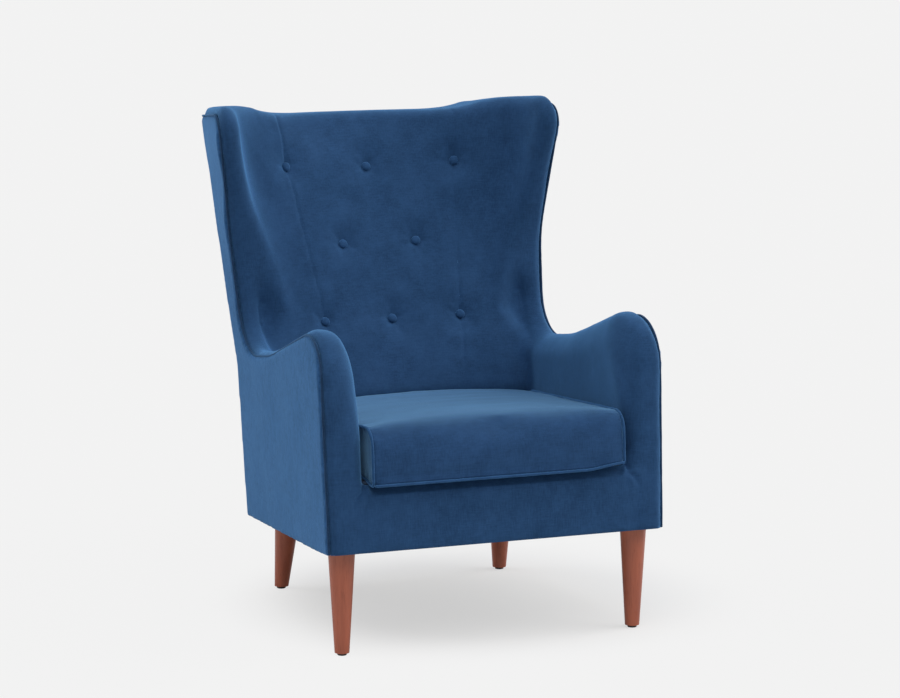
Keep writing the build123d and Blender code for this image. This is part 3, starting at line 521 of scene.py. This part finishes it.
# %% The rim gauge
def search_tree(spots):
    """A tree that finds the nearest of many points."""
    tree = kdtree.KDTree(len(spots))
    for number, spot in enumerate(spots):
        tree.insert(spot, number)
    tree.balance()
    return tree


def rim_gauge(name, spacing=0.003, whole=False):
    """Samples of a side panel's rim, seen from the side, with their outward directions."""
    panel = merged(name)
    spots, ways = [], []
    for face in panel.faces:
        way = face.normal
        if abs(way.x) > 0.5 or (not whole and way.z - way.y < 0.3):
            continue
        for edge in face.edges:
            first, last = (v.co for v in edge.verts)
            steps = max(1, int((last - first).length / spacing))
            for step in range(steps + 1):
                spot = first.lerp(last, step / steps)
                spots.append((0.0, spot.y, spot.z))
                ways.append((way.y, way.z))
    panel.free()
    return search_tree(spots), np.array(ways)


open_rim = rim_gauge("outside_panel_right")
whole_rim = rim_gauge("outside_panel_right", whole=True)


def inside_rim(spots, rim=open_rim):
    """For each point, how far it lies inside the side outline, and the outward direction."""
    tree, ways = rim
    depth, way = np.zeros(len(spots)), np.zeros((len(spots), 2))
    for number, (x, y, z) in enumerate(spots):
        near, index, distance = tree.find((0.0, y, z))
        way[number] = ways[index]
        depth[number] = -((y - near[1]) * way[number][0] + (z - near[2]) * way[number][1])
    return depth, way


apron_low, apron_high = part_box("front_apron")
wing_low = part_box("wing_pad_right")[0]
arm_face = apron_high.x                 # half the distance between the inside faces of the arms
rim_rise = 0.012                        # the padding stands this far outside the outline
print("rim samples:", len(open_rim[1]), " arms start at x", round(arm_face, 3))

# %% [markdown]
# ## Welts
#
# A welt is a cord wrapped in a bias strip of the velvet, sewn in between two covers. Its
# solid is a plain tube that stands clear of its neighbours. The copy is remeshed finely
# enough to take the small unevenness of the wrapped strip, drawn in a little towards the
# outline, and made slimmer, as cloth and stitching press it. The side welts come before
# the covers, because the covers are then drawn up against them.

# %% Welts
def wrapped_cord(name, node, body, seed, finish, slim=0.0006, tuck=0.0, inward=0.0):
    """A welt made from its solid, slimmer by slim all round and moved into the outline."""
    piece = new_piece(name, merged(node), finish, body)
    remeshed(piece, 0.0017, 1)
    spots, facing = points_of(piece)
    push = waves(spots, 0.022, seed) * 0.00025 - slim
    spots = spots + facing * push[:, None]
    if tuck:
        depth, way = inside_rim(spots)
        spots[:, 0] -= np.sign(spots[:, 0]) * inward
        spots[:, 1] -= way[:, 0] * tuck
        spots[:, 2] -= way[:, 1] * tuck
    move_points(piece, spots)
    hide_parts(node)
    print(name, len(piece.data.polygons), "faces")
    return piece


side_welts = [wrapped_cord(f"{side}_side_welt", f"side_piping_{side}", "chair", 11 + number,
                           painted_shade_welt_velvet, slim=0.0008, tuck=0.0016, inward=0.0010)
              for number, side in enumerate(("left", "right"))]

# %% [markdown]
# On the real chair the stitches pull both covers tight against the welt, so no gap shows
# between them. One helper does the same: every point of a piece that lies near a welt is
# moved towards it, and the nearer it is, the closer it gets.

# %% Draw covers up against the side welts
def tree_of(*pieces):
    """A search tree of all the points of some pieces."""
    return search_tree(np.concatenate([points_of(piece)[0] for piece in pieces]))


welt_tree = tree_of(*side_welts)


def drawn_up(piece, reach=0.010, share=0.9, tree=welt_tree, lowest=-1.0):
    """Moves the points near the tree's points towards them, the nearest almost all the way."""
    spots, facing = points_of(piece)
    moved = spots.copy()
    for number, spot in enumerate(spots):
        if spot[2] < lowest:
            continue
        near, index, distance = tree.find(spot)
        if distance < reach:
            pull = share * (1 - (distance / reach) ** 2) ** 0.5
            moved[number] += (np.array(near) - spot) * pull
    move_points(piece, moved)
    print(piece.name, "points drawn up:", int((np.abs(moved - spots).max(1) > 1e-5).sum()))


# %% [markdown]
# ## One body of upholstery
#
# On the real chair the padding is put on in one go and the covers are sewn from a few
# panels. So all the pads are remeshed as one body first. The rolls, dimples and seams
# are pressed into it while it is whole, and only then is it cut along the seams. That
# way two covers meet exactly, with no step between them. A strip of wadding first fills
# the narrow groove between the apron and each arm, where the one cover runs straight on.

# %% Wadding beside the apron
def underside(shape):
    """The largest face that looks down."""
    facing_down = (face for face in shape.faces if face.normal.z < -0.9)
    return max(facing_down, key=lambda face: face.calc_area())


def base_plane():
    """A point and the downward direction of the sloping underside."""
    panel = merged("outside_panel_right")
    under = underside(panel)
    point, way = under.calc_center_median(), under.normal.copy()
    panel.free()
    return np.array(point), np.array(way)


def ray_target(*names):
    """Solids in a form that rays can be sent at."""
    shape = merged(*names)
    target = bvhtree.BVHTree.FromBMesh(shape)
    shape.free()
    return target


arm_target = ray_target("arm_pad_right")
base_point, base_way = base_plane()


def arm_front(height):
    """Where the front of an arm stands at a height, met by a ray from ahead."""
    return arm_target.ray_cast(Vector((arm_face + 0.028, -1, height)), Vector((0, 1, 0)))[0].y


def wadding(shape, sign, half_width=0.020):
    """A strip that fills the groove between the apron and an arm, flush with both."""
    for vertex in bmesh.ops.create_cube(shape, size=1)["verts"]:
        low, front = vertex.co.z < 0, vertex.co.y < 0
        x = sign * arm_face + (half_width if vertex.co.x > 0 else -half_width)
        y = apron_high.y - 0.010
        z = apron_high.z - 0.008
        if front:
            y = arm_front(apron_low.z + 0.012 if low else z)
        if low:                         # on the sloping underside
            z = base_point[2] - (y - base_point[1]) * base_way[1] / base_way[2] + 0.0002
        vertex.co = Vector((x, y, z))


print("underside passes", [round(c, 3) for c in base_point], "and faces", [round(c, 3) for c in base_way])

# %% Remesh all the pads together
padding = merged("arm_pad_left", "arm_pad_right", "front_apron",
                 "wing_pad_left", "wing_pad_right", "back_pad")
for vertex in padding.verts:            # pads swell by a hair, so that they fuse
    vertex.co += vertex.normal * 0.0005
for sign in (-1, 1):
    wadding(padding, sign)
upholstery = new_piece("upholstery", padding, cover_velvet)
remeshed(upholstery, square, 2)
print("upholstery:", len(upholstery.data.polygons), "faces")

# %% [markdown]
# ### The rolled edges
#
# The solid pads have a plain rounding on their inner edge. The real arm is a broad roll:
# in section it is a quarter of an ellipse, taller than it is wide, that starts at the
# welt and ends far down the inner face. Each point in the corner between rim and inner
# face is therefore pulled straight onto such an ellipse. Low on the arm fronts the ellipse
# is smaller, and the wings keep their plain rounding.

# %% Roll the arms
def rolled(spots, least=0.034, arm_across=0.018, arm_down=0.048):
    """Pulls points onto the ellipse, whose radii grow from the least one on the arm tops."""
    side, height = np.abs(spots[:, 0]), spots[:, 2]
    inner = arm_face + np.maximum(0, height - 0.600) * 0.15     # the wings lean out
    arm_top = smooth_step(0.43, 0.60, height) * (1 - smooth_step(0.59, 0.68, height))
    across, down = least + arm_across * arm_top, least + arm_down * arm_top
    depth, way = inside_rim(spots)
    in_from_face = side - inner
    u = np.clip(1 - in_from_face / across, 0, 1)
    v = np.clip(1 - (rim_rise + depth) / down, 0, 1.2)
    reach = np.sqrt(u * u + v * v)
    share = np.where(reach > 1, 1 / np.maximum(reach, 1e-6), 1)
    weight = smooth_step(-0.040, -0.002, in_from_face) * (reach > 1) * (v > 0) * (u > 0)
    weight = weight * (1 - smooth_step(0.62, 0.70, height)) * smooth_step(0.330, 0.390, height)
    fall = (down * v * (1 - share)) * weight
    moved = spots.copy()
    moved[:, 0] += np.sign(spots[:, 0]) * (across * u * (1 - share)) * weight
    moved[:, 1] -= way[:, 0] * fall
    moved[:, 2] -= way[:, 1] * fall
    return moved


spots = points_of(upholstery)[0]
moved = rolled(spots)
print("rolls move points by up to", round(1000 * np.abs(moved - spots).max(), 1), "mm")

# %% [markdown]
# The top line of the real chair is one slow curve: level over the back, then rising to
# the tops of the wings. The solids meet there at slight angles. So the height of the top
# edge is read every centimetre across the chair, and the edge is lifted or lowered to the
# curve, by less than a centimetre.

# %% Shape the top line
def crested(spots, wing_rise=0.037, limit=0.009):
    """Brings the top edge onto a curve that ends wing_rise above the back."""
    side, height = np.abs(spots[:, 0]), spots[:, 2]
    stops = np.arange(0.005, 0.380, 0.010)
    crest = np.array([height[np.abs(side - stop) < 0.006].max() for stop in stops])
    wanted = crest[:10].mean() + wing_rise * smooth_step(0.160, 0.345, stops)
    lift = np.clip(wanted - crest, -limit, limit) * smooth_step(0.100, 0.170, stops)
    lift = np.convolve(np.pad(lift, 2, "edge"), np.full(5, 0.2), "valid")
    moved = spots.copy()
    moved[:, 2] += np.interp(side, stops, lift) * smooth_step(0.935, 0.995, height)
    return moved


move_points(upholstery, crested(moved))
applied(upholstery, "SMOOTH", factor=0.5, iterations=3)
print("top line shaped, highest point", round(points_of(upholstery)[0][:, 2].max(), 4))

# %% [markdown]
# The solids turn from wing to back in a crease. Wadding fills such a corner on the real
# chair, so the upholstery is smoothed much more, except close to the welts, on the apron
# and along the top edge. Then it is drawn up against the welts.

# %% Soften the inner corners
spots = points_of(upholstery)[0]
from_welt = np.array([welt_tree.find(spot)[2] for spot in spots])
soft = smooth_step(0.006, 0.035, from_welt) * smooth_step(0.365, 0.410, spots[:, 2])
soft = soft * (1 - 0.8 * smooth_step(0.960, 0.985, spots[:, 2]))
group = upholstery.vertex_groups.new(name="soft")
for index in np.flatnonzero(soft > 0.01):
    group.add([int(index)], float(soft[index]), "REPLACE")
applied(upholstery, "SMOOTH", factor=0.5, iterations=26, vertex_group="soft")
upholstery.vertex_groups.clear()
drawn_up(upholstery)

# %% [markdown]
# ### Buttons, seams and life in the cloth
#
# Each button draws the cloth into a soft pit with a few short folds round it, mostly
# above and below, where the cloth is pulled tightest. Two seams run down through the
# outer buttons, with the cloth standing up a little on both sides of the thread. Last
# comes a slow unevenness over everything, because hand-pulled cloth is never true.

# %% Press in buttons and seams
def seam_line(height):
    """Half the distance between the two long seams at a height, through the outer buttons."""
    lean = (top_button.x - low_button.x) / (top_button.z - low_button.z)
    return low_button.x + (height - low_button.z) * lean


def groove(distance, depth, width, lip):
    """A seam's section: a narrow valley with a low rise on both sides."""
    beside = (np.abs(distance) - 3 * width) / (2.2 * width)
    return lip * np.exp(-beside ** 2) - depth * np.exp(-(distance / width) ** 2)


def inside_back(spots, facing):
    """1 on the inside back and wings, and 0 on the arms and on hidden faces."""
    front = smooth_step(0.10, 0.45, -facing[:, 1])
    return front * smooth_step(-0.02, 0.08, spots[:, 1])


def pit(spots, number, middle, way):
    """The push of one button: a pit, folds in a ring round it and a low rise further out."""
    offset = spots - np.array(middle)
    flat = offset - np.outer(offset @ np.array(way), np.array(way))
    far = np.linalg.norm(flat, axis=1)
    angle = np.arctan2(flat[:, 0], flat[:, 2])
    folds = (np.cos(2 * angle) * 0.5 + np.cos(5 * angle + number) * 0.3
             + np.cos(9 * angle - 2 * number) * 0.2)
    ring = np.exp(-((far - 0.026) / 0.016) ** 2)
    rise = np.exp(-((far - 0.062) / 0.026) ** 2)
    return -0.0062 * np.exp(-(far / 0.034) ** 2) - 0.0015 * ring * folds + 0.0016 * rise


spots, facing = points_of(upholstery)
push = sum(pit(spots, number, *button) for number, button in enumerate(button_spots))
above_seat = smooth_step(0.44, 0.50, spots[:, 2])
from_seam = np.abs(spots[:, 0]) - seam_line(spots[:, 2])
push += groove(from_seam, depth=0.0014, width=0.0032, lip=0.0004) * above_seat
push *= inside_back(spots, facing)
push += waves(spots, 0.150, 1) * 0.0011 + waves(spots, 0.055, 2) * 0.0005
print("pressed in by up to", round(-1000 * push.min(), 1), "mm")
move_points(upholstery, spots + facing * push[:, None])

# %% [markdown]
# ### Strain at the corners of the apron
#
# The front cover is one panel with a notch for the seat, and the cloth pulls into short
# slanting creases at the notch's inner corners. Between them the edge of the apron is
# pressed down a little, where it runs in under the cushion.

# %% Creases below the seat
creases = (                             # slant, start below the notch, length and depth
    (0.95, 0.000, 0.060, 0.0028),
    (0.45, 0.010, 0.045, 0.0016),
    (1.60, 0.008, 0.040, 0.0014),
)
edge_drop = 0.012
spots, facing = points_of(upholstery)
push = np.zeros(len(spots))
for sign in (-1, 1):
    for slant, start, length, depth in creases:
        along_x, along_z = sign * cos(slant), -sin(slant)
        dx = spots[:, 0] - sign * arm_face
        dz = spots[:, 2] - (apron_high.z - start)
        along = dx * along_x + dz * along_z
        off = dx * along_z - dz * along_x
        there = smooth_step(-0.012, 0.004, along) * (1 - smooth_step(length * 0.4, length, along))
        push += groove(off, depth, 0.0034, depth * 0.35) * there
push *= smooth_step(0.3, 0.7, -facing[:, 1]) * (spots[:, 1] < apron_high.y)
moved = spots + facing * push[:, None]
edge = 1 - smooth_step(arm_face - 0.014, arm_face - 0.002, np.abs(spots[:, 0]))
edge = edge * smooth_step(apron_high.z - 0.022, apron_high.z, spots[:, 2])
edge = edge * (1 - smooth_step(apron_low.y + 0.008, apron_high.y - 0.002, spots[:, 1]))
moved[:, 2] -= edge_drop * edge
move_points(upholstery, moved)
print("creases pressed in by up to", round(-1000 * push.min(), 1), "mm")

# %% [markdown]
# ### No wood may show
#
# Padding is thinnest where the back turns into the wings. A ray is sent back at the cover
# from just in front of it, and where it meets the frame too soon, the cover and the
# points round it are lifted off the wood.

# %% Lift the cover off the frame
timber = ray_target("back_post_left", "back_post_right", "side_frame_left", "side_frame_right",
                    "arm_post_left", "arm_post_right", "lumbar_rail", "waist_rail", "crest_rail",
                    "front_rail")


def off_the_wood(piece, room=0.0040, start=0.020, spread=0.016):
    """Leaves this much room between wood and cover, and fades the lift out over the spread."""
    spots, facing = points_of(piece)
    depth, way = inside_rim(spots)
    inner = (-facing[:, 0] * np.sign(spots[:, 0]) > 0.25) | (facing[:, 1] < -0.10)
    inner &= (spots[:, 1] > 0.10) & (spots[:, 2] > 0.48) & (spots[:, 2] < 0.80)     # the wings' foot
    inner &= depth > 0.005
    tree, needs = kdtree.KDTree(len(spots)), {}
    for number in np.flatnonzero(inner):
        way = Vector(facing[number])
        hit, normal, face, distance = timber.ray_cast(Vector(spots[number]) + way * start,
                                                      -way, start + room)
        if hit is not None:
            needs[int(number)] = start + room - distance
            tree.insert(spots[number], number)
    tree.balance()
    lift = np.zeros(len(spots))
    for number in np.flatnonzero(inner):
        for near, index, distance in tree.find_range(spots[number], 2.2 * spread):
            lift[number] = max(lift[number], needs[index] * np.exp(-(distance / spread) ** 2))
    move_points(piece, spots + facing * lift[:, None])
    print(piece.name, "points too near the wood:", len(needs),
          " lifted by up to", round(1000 * lift.max(), 1), "mm")


off_the_wood(upholstery)

# %% [markdown]
# ### A straight hem
#
# The remesh leaves small steps where a surface doesn't lie along its grid, and they show
# most along the bottom edge. The underside is a plane, so its points are put back on it.

# %% Straighten the hem
def hemmed(piece, reach=0.0045):
    """Puts the points near the underside, and facing down, on the plane of the underside."""
    spots, facing = points_of(piece)
    above = -(spots - base_point) @ base_way
    low = (above < reach) & (facing @ base_way > 0.25)
    spots[low] += np.outer(above[low], base_way)
    move_points(piece, spots)
    print(piece.name, "points put on the base:", int(low.sum()))


hemmed(upholstery)

# %% [markdown]
# ### Cutting the body into its covers
#
# The seams run through planes that the body is first scored along, without taking
# anything away. Each cover is then a copy that keeps only its own faces. The edge left
# open is marked sharp, so the shading doesn't bend into the seam, and the hole is closed.
# One cover takes both arms and the apron, because they are sewn from one length of cloth.

# %% Score the seams
seam_y, seam_z = wing_low.yz


def scored(shape, point, normal, chosen):
    """Cuts the faces that are chosen by their middle along a plane."""
    faces = [face for face in shape.faces if chosen(face.calc_center_median())]
    geometry = set(faces)
    for face in faces:
        geometry.update(face.edges)
        geometry.update(face.verts)
    bmesh.ops.bisect_plane(shape, geom=list(geometry), plane_co=point, plane_no=normal)


shape = bmesh.new()
shape.from_mesh(upholstery.data)
for sign in (-1, 1):
    way = Vector((sign * (top_button.z - low_button.z), 0, low_button.x - top_button.x)).normalized()
    scored(shape, Vector((sign * top_button.x, 0, top_button.z)), way, lambda spot: spot.y > 0)
scored(shape, Vector((0, 0, seam_z)), Vector((0, 0, 1)), lambda spot: spot.y > seam_y - 0.02)
shape.to_mesh(upholstery.data)
shape.free()
print("scored at z", round(seam_z, 3), "and behind y", round(seam_y, 3))

# %% Part the covers
back_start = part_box("back_pad")[0].y - 0.01


def is_back(spot):
    return abs(spot.x) < seam_line(spot.z) and spot.y > back_start


def is_front(spot):
    return not is_back(spot) and (spot.z < seam_z or spot.y < seam_y - 0.02)


def part_cover(name, mine, *replaced):
    """A closed copy of the faces of the upholstery for which mine(middle) is true."""
    shape = bmesh.new()
    shape.from_mesh(upholstery.data)
    others = [face for face in shape.faces if not mine(face.calc_center_median())]
    bmesh.ops.delete(shape, geom=others, context="FACES")
    rim = [edge for edge in shape.edges if edge.is_boundary]
    for edge in rim:
        edge.smooth = False
    bmesh.ops.holes_fill(shape, edges=rim)
    piece = new_piece(name, shape, cover_velvet)
    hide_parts(*replaced)
    print(name, len(piece.data.polygons), "faces")


cover_tree = tree_of(upholstery)
part_cover("back_cover", is_back, "back_pad")
part_cover("front_cover", is_front, "arm_pad_left", "arm_pad_right", "front_apron")
for side, sign in (("left", -1), ("right", 1)):
    part_cover(f"wing_cover_{side}",
               lambda spot: not is_back(spot) and not is_front(spot) and spot.x * sign > 0,
               f"wing_pad_{side}")
bpy.data.objects.remove(upholstery)

# %% [markdown]
# ## Covered buttons
#
# A covered button is a shallow metal shell with cloth drawn over it and tucked under its
# rim. Half of its section is drawn as a few points and spun round, and a subdivision
# surface makes it smooth. It sits deeper than the plain solid, because the cloth round it
# is now drawn in.

# %% Buttons
def button_shape():
    """A button that faces up, with the rim of its shell at height 0."""
    shape = bmesh.new()
    section = ((0.0, 0.0072), (0.0045, 0.0069), (0.0084, 0.0052), (0.0106, 0.0022),
               (0.0103, 0.0000), (0.0080, -0.0012), (0.0, -0.0014))
    ring = [shape.verts.new((x, 0, z)) for x, z in section]
    edges = [shape.edges.new(pair) for pair in zip(ring, ring[1:])]
    bmesh.ops.spin(shape, geom=ring + edges, cent=(0, 0, 0), axis=(0, 0, 1), steps=28,
                   angle=2 * pi, use_merge=True)
    bmesh.ops.remove_doubles(shape, verts=shape.verts, dist=1e-6)
    bmesh.ops.recalc_face_normals(shape, faces=shape.faces)
    return shape


sunk = 0.0074                           # so far behind the middle of the plain solid
buttons = bmesh.new()
for middle, way in button_spots:
    one = button_shape()
    turned = way.to_track_quat("Z", "Y").to_matrix().to_4x4()
    bmesh.ops.transform(one, verts=one.verts,
                        matrix=Matrix.Translation(middle - way * sunk) @ turned)
    mesh = bpy.data.meshes.new("one_button")
    one.to_mesh(mesh)
    one.free()
    buttons.from_mesh(mesh)
    bpy.data.meshes.remove(mesh)
covered_buttons = new_piece("covered_buttons", buttons, button_velvet)
applied(covered_buttons, "SUBSURF", levels=1, render_levels=1)
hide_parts("back_buttons")
print("buttons:", len(button_spots), "with", len(covered_buttons.data.polygons), "faces")

# %% [markdown]
# ## Outside panels
#
# The outsides are boards with thin wadding under the velvet. Their solids have hard
# corners. Remeshing rounds the corners by a few millimetres, which is what wadding does,
# and the middle of each panel is pushed out a little, with slow waves where the cloth is
# stretched between tacks. The remesh also roughens edges that must stay true. A side's
# rim is put back on the outline that the gauge knows, and the back's top edge, which is
# sewn to the covers, is drawn to their points.

# %% Outside panels
def padded_panel(name, node, way, seed):
    """An outside panel that faces along way, made from its solid."""
    piece = new_piece(name, merged(node), painted_light_outside_velvet)
    remeshed(piece, square + 0.0005, 2)
    low, high = (np.array(corner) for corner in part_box(node))
    if way[1]:                          # the back
        drawn_up(piece, 0.022, 1.0, tree=cover_tree, lowest=high[2] - 0.055)
    else:                               # a side
        spots, facing = points_of(piece)
        depth, out = inside_rim(spots, whole_rim)
        rim = (np.abs(facing[:, 0]) < 0.45) & (np.abs(depth) < 0.004)
        spots[rim, 1] += out[rim, 0] * depth[rim]
        spots[rim, 2] += out[rim, 1] * depth[rim]
        move_points(piece, spots)
        drawn_up(piece, 0.006, 0.8)
    hemmed(piece)
    spots, facing = points_of(piece)
    share = (spots - low) / (high - low)
    room = share * (1 - share)          # 0 at the edges and 1/4 in the middle
    across = 0 if way[1] else 1
    middle = np.clip(16 * room[:, across] * room[:, 2], 0, 1)
    push = 0.0022 * np.sqrt(middle) + waves(spots, 0.130, seed) * 0.0009
    push += waves(spots, 0.040, seed + 1) * 0.0002
    push *= np.clip(facing @ np.array(way), 0, 1)
    move_points(piece, spots + facing * push[:, None])
    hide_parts(node)
    print(name, len(piece.data.polygons), "faces")


padded_panel("left_outside", "outside_panel_left", (-1, 0, 0), 3)
padded_panel("right_outside", "outside_panel_right", (1, 0, 0), 4)
padded_panel("back_outside", "outside_back", (0, 1, 0), 5)

# %% [markdown]
# ## Seat cushion
#
# The cushion is a foam block in a fitted cover: a long panel that wraps over the front,
# and two flat gussets at the sides with a welt round each. The block is remeshed and
# blown up by a cloth simulation with a little air pressure. The points along the welts
# are pinned, as the stitching holds them, and so are the ones underneath, where the
# cushion lies on the deck. How far a point may move is capped, or the gussets would
# press into the arms. The deck slopes, so points are also measured along and above the
# cushion's own underside.

# %% Cushion: measure and remesh
block = merged("cushion_foam")
under = underside(block)
rise = -under.normal
origin = under.calc_center_median()
block.free()
run = rise.cross(Vector((1, 0, 0))).normalized()        # along the seat, to the rear
half_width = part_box("cushion_cover")[1].x

cushion = new_piece("seat_cushion", merged("cushion_foam"), cushion_velvet, "cushion")
remeshed(cushion, 0.006, 3)


def in_cushion(spots):
    """Across, along and above the cushion's own underside."""
    from_origin = spots - np.array(origin)
    return spots[:, 0], from_origin @ np.array(run), from_origin @ np.array(rise)


spots, facing = points_of(cushion)
across, along, above = in_cushion(spots)
front_end, rear_end = along.min(), along.max()
print("cushion half width", round(half_width, 4), "length", round(rear_end - front_end, 3),
      "height", round(above.max() - above.min(), 3))

# %% Cushion: blow it up
def blown_up(piece, pinned, pressure, cap, frames=20):
    """Runs a cloth simulation with air pressure and keeps its result in the mesh."""
    before = points_of(piece)[0]
    group = piece.vertex_groups.new(name="pinned")
    for index, weight in enumerate(pinned):
        if weight > 0.01:
            group.add([index], float(weight), "REPLACE")
    cloth = piece.modifiers.new("cloth", "CLOTH")
    settings = cloth.settings
    settings.quality = 5
    settings.mass = 0.3
    settings.tension_stiffness = settings.compression_stiffness = 12
    settings.shear_stiffness = 6
    settings.bending_stiffness = 2.0
    settings.use_pressure = True
    settings.uniform_pressure_force = pressure
    settings.vertex_group_mass = "pinned"
    settings.effector_weights.gravity = 0
    cloth.collision_settings.use_collision = False
    cloth.point_cache.frame_start, cloth.point_cache.frame_end = 1, frames
    for number in range(1, frames + 1):
        scene.frame_set(number)
    ready = piece.evaluated_get(bpy.context.evaluated_depsgraph_get())
    after = np.zeros(len(before) * 3)
    ready.data.vertices.foreach_get("co", after)
    moved = after.reshape(-1, 3) - before
    length = np.linalg.norm(moved, axis=1)
    share = np.minimum(1, cap / np.maximum(length, 1e-9))
    piece.modifiers.remove(cloth)
    piece.vertex_groups.remove(group)
    scene.frame_set(1)
    move_points(piece, before + moved * share[:, None])
    swelled = 1000 * np.minimum(length, cap)
    print(piece.name, "swelled by up to", round(swelled.max(), 1), "mm, middle value",
          round(float(np.median(swelled)), 1))


crown = 0.010                           # the middle stands this much higher than the sides
off_deck = above - above.min()
on_side = smooth_step(0.6, 0.9, np.abs(facing[:, 0]))
to_edge = np.minimum(off_deck, above.max() - crown - above)
by_welt = (1 - smooth_step(0.004, 0.014, half_width - np.abs(across))) * (1 - on_side)
by_welt = np.maximum(by_welt, (1 - smooth_step(0.004, 0.016, to_edge)) * on_side)
underneath = 1 - smooth_step(0.002, 0.010, off_deck)
blown_up(cushion, np.maximum(by_welt, underneath), pressure=4.0, cap=0.014)

# %% [markdown]
# The velvet gathers where it is stitched to the welts. Those gathers are finer than the
# simulated squares, so they are added after one subdivision: short folds at right angles
# to the welt that die out within a few centimetres. The underside stays flat on the deck.

# %% Cushion: gathers along the welts
applied(cushion, "SUBSURF", levels=1, render_levels=1)
spots, facing = points_of(cushion)
across, along, above = in_cushion(spots)
off_deck = above - above.min()
from_gusset = half_width - np.abs(across)
not_gusset = 1 - smooth_step(0.6, 0.9, np.abs(facing[:, 0]))
round_front = along + above             # runs on round the front without a jump
zero = np.zeros(len(spots))
fold = waves(np.stack([across * 0.15, round_front, zero], axis=1), 0.011, 41)
fold += 0.5 * waves(np.stack([across * 0.3, round_front, zero], axis=1), 0.005, 42)
push = fold * 0.0010 * np.exp(-np.abs(from_gusset - 0.006) / 0.016) * not_gusset
front_face = smooth_step(0.4, 0.8, -(facing @ np.array(run)))
hem_fold = waves(np.stack([across, off_deck * 0.2, zero], axis=1), 0.016, 43)
push += hem_fold * 0.0008 * np.exp(-off_deck / 0.014) * front_face
push += waves(spots, 0.090, 44) * 0.0012 + waves(spots, 0.035, 45) * 0.0004
push = np.where(off_deck < 0.003, 0, push)
move_points(cushion, spots + facing * push[:, None])
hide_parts("cushion_cover", "cushion_foam")
print("seat_cushion", len(cushion.data.polygons), "faces")

# %% [markdown]
# A full cushion presses against both arms, and its nose hangs down over the apron,
# except at one corner, which has curled up. Its three welts must follow, so one function
# bends the cushion and the welts alike. The welts at the sides are also moved in by a
# little, and the cushion is drawn up to them, because they are sewn to its edges.

# %% Cushion: bend its nose, and add the welts
deck_level = above.min()


def nosed(piece, inward=0.0, droop=0.0105, widening=1.020):
    """Lets the lower front edge hang down, widens the piece and then moves its sides in."""
    spots = points_of(piece)[0]
    across, along, above = in_cushion(spots)
    near = 1 - smooth_step(0.004, 0.060, along - front_end)
    low = 1 - smooth_step(0.010, 0.085, above - deck_level)
    not_curled = 1 - 0.9 * smooth_step(0.175, 0.262, across)
    spots -= np.outer(droop * near * low * not_curled, np.array(rise))
    spots[:, 0] *= widening
    spots[:, 0] -= np.sign(spots[:, 0]) * inward
    move_points(piece, spots)


nosed(cushion)
cushion_welts = []
for number, side in enumerate(("left", "right", "front")):
    welt = wrapped_cord(f"{side}_cushion_welt", f"cushion_piping_{side}", "cushion", 21 + number,
                        cushion_welt_velvet)
    nosed(welt, 0.0 if side == "front" else 0.0025)
    cushion_welts.append(welt)
drawn_up(cushion, reach=0.012, share=0.85, tree=tree_of(*cushion_welts))
print("cushion bent, with", len(cushion_welts), "welts")

# %% [markdown]
# ## Deck and dust cover
#
# Under the cushion lies the deck, a thin felt pad in plain cloth. The pad is remeshed and
# gets slow hollows from the bands below it. Under the chair a black dust cover closes the
# space between the rails that hold it. It is so thin that a remesh would tear it, so
# its own faces are cut into a grid instead, and the middle of the grid hangs down.

# %% Deck
deck = new_piece("deck", merged("deck_pad"), deck_cloth)
remeshed(deck, 0.005, 2)
spots, facing = points_of(deck)
push = np.clip(facing[:, 2], 0, 1) * (waves(spots, 0.070, 51) * 0.0007 - 0.0007)
move_points(deck, spots + facing * push[:, None])
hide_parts("deck_pad")
print("deck", len(deck.data.polygons), "faces")

# %% Dust cover
grid = 0.02
dust_low, dust_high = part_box("dust_cover")
sheet = merged("dust_cover")
for axis in (0, 1):
    length = dust_high[axis] - dust_low[axis]
    count = int(length / grid)
    for step in range(1, count):
        point, normal = Vector((0, 0, 0)), Vector((0, 0, 0))
        point[axis] = dust_low[axis] + length * step / count
        normal[axis] = 1
        bmesh.ops.bisect_plane(sheet, geom=sheet.verts[:] + sheet.edges[:] + sheet.faces[:],
                               plane_co=point, plane_no=normal)
dust = new_piece("dust_sheet", sheet, dust_cloth)
spots = points_of(dust)[0]
share_x = np.clip((spots[:, 0] - dust_low.x) / (dust_high.x - dust_low.x), 0, 1)
share_y = np.clip((spots[:, 1] - dust_low.y) / (dust_high.y - dust_low.y), 0, 1)
middle = np.clip(16 * share_x * (1 - share_x) * share_y * (1 - share_y), 0, 1)
drop = 0.006 * np.sqrt(middle) * (0.8 + 0.2 * waves(spots, 0.060, 61))
spots[:, 2] -= drop
move_points(dust, spots)
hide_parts("dust_cover")
print("dust_sheet", len(dust.data.polygons), "faces, sags", round(1000 * drop.max(), 1), "mm")

# %% [markdown]
# ## Finishes for the solids that stay
#
# Wood, steel, plastic and webbing have their right shapes already, so they only get
# their materials. A list of every solid that is seen and has none must come out empty.

# %% Finish the solids
finishes = {
    leg_wood: ("front_leg_left", "front_leg_right", "rear_leg_left", "rear_leg_right"),
    rail_wood: ("front_rail", "rear_rail", "crest_rail", "lumbar_rail", "waist_rail"),
    post_wood: ("side_frame_left", "side_frame_right", "arm_post_left", "arm_post_right",
                "back_post_left", "back_post_right", "side_rail_left", "side_rail_right",
                "corner_blocks"),
    zinc: ("leg_bolts", "leg_inserts"),
    black_plastic: ("leg_glides",),
    band_cloth: ("webbing_long", "webbing_cross"),
    tape_cloth: ("cushion_zip",),
    brass: ("zip_slider",),
}
for finish, names in finishes.items():
    for name in names:
        node = nodes[name]
        if not node.data.materials:
            node.data.materials.append(finish.material)
        for slot in node.material_slots:
            slot.material = finish.material
finished = {name for names in finishes.values() for name in names}
print("solids without a finish:", sorted(name for name, solid in nodes.items()
                                         if not solid.hide_render and name not in finished))
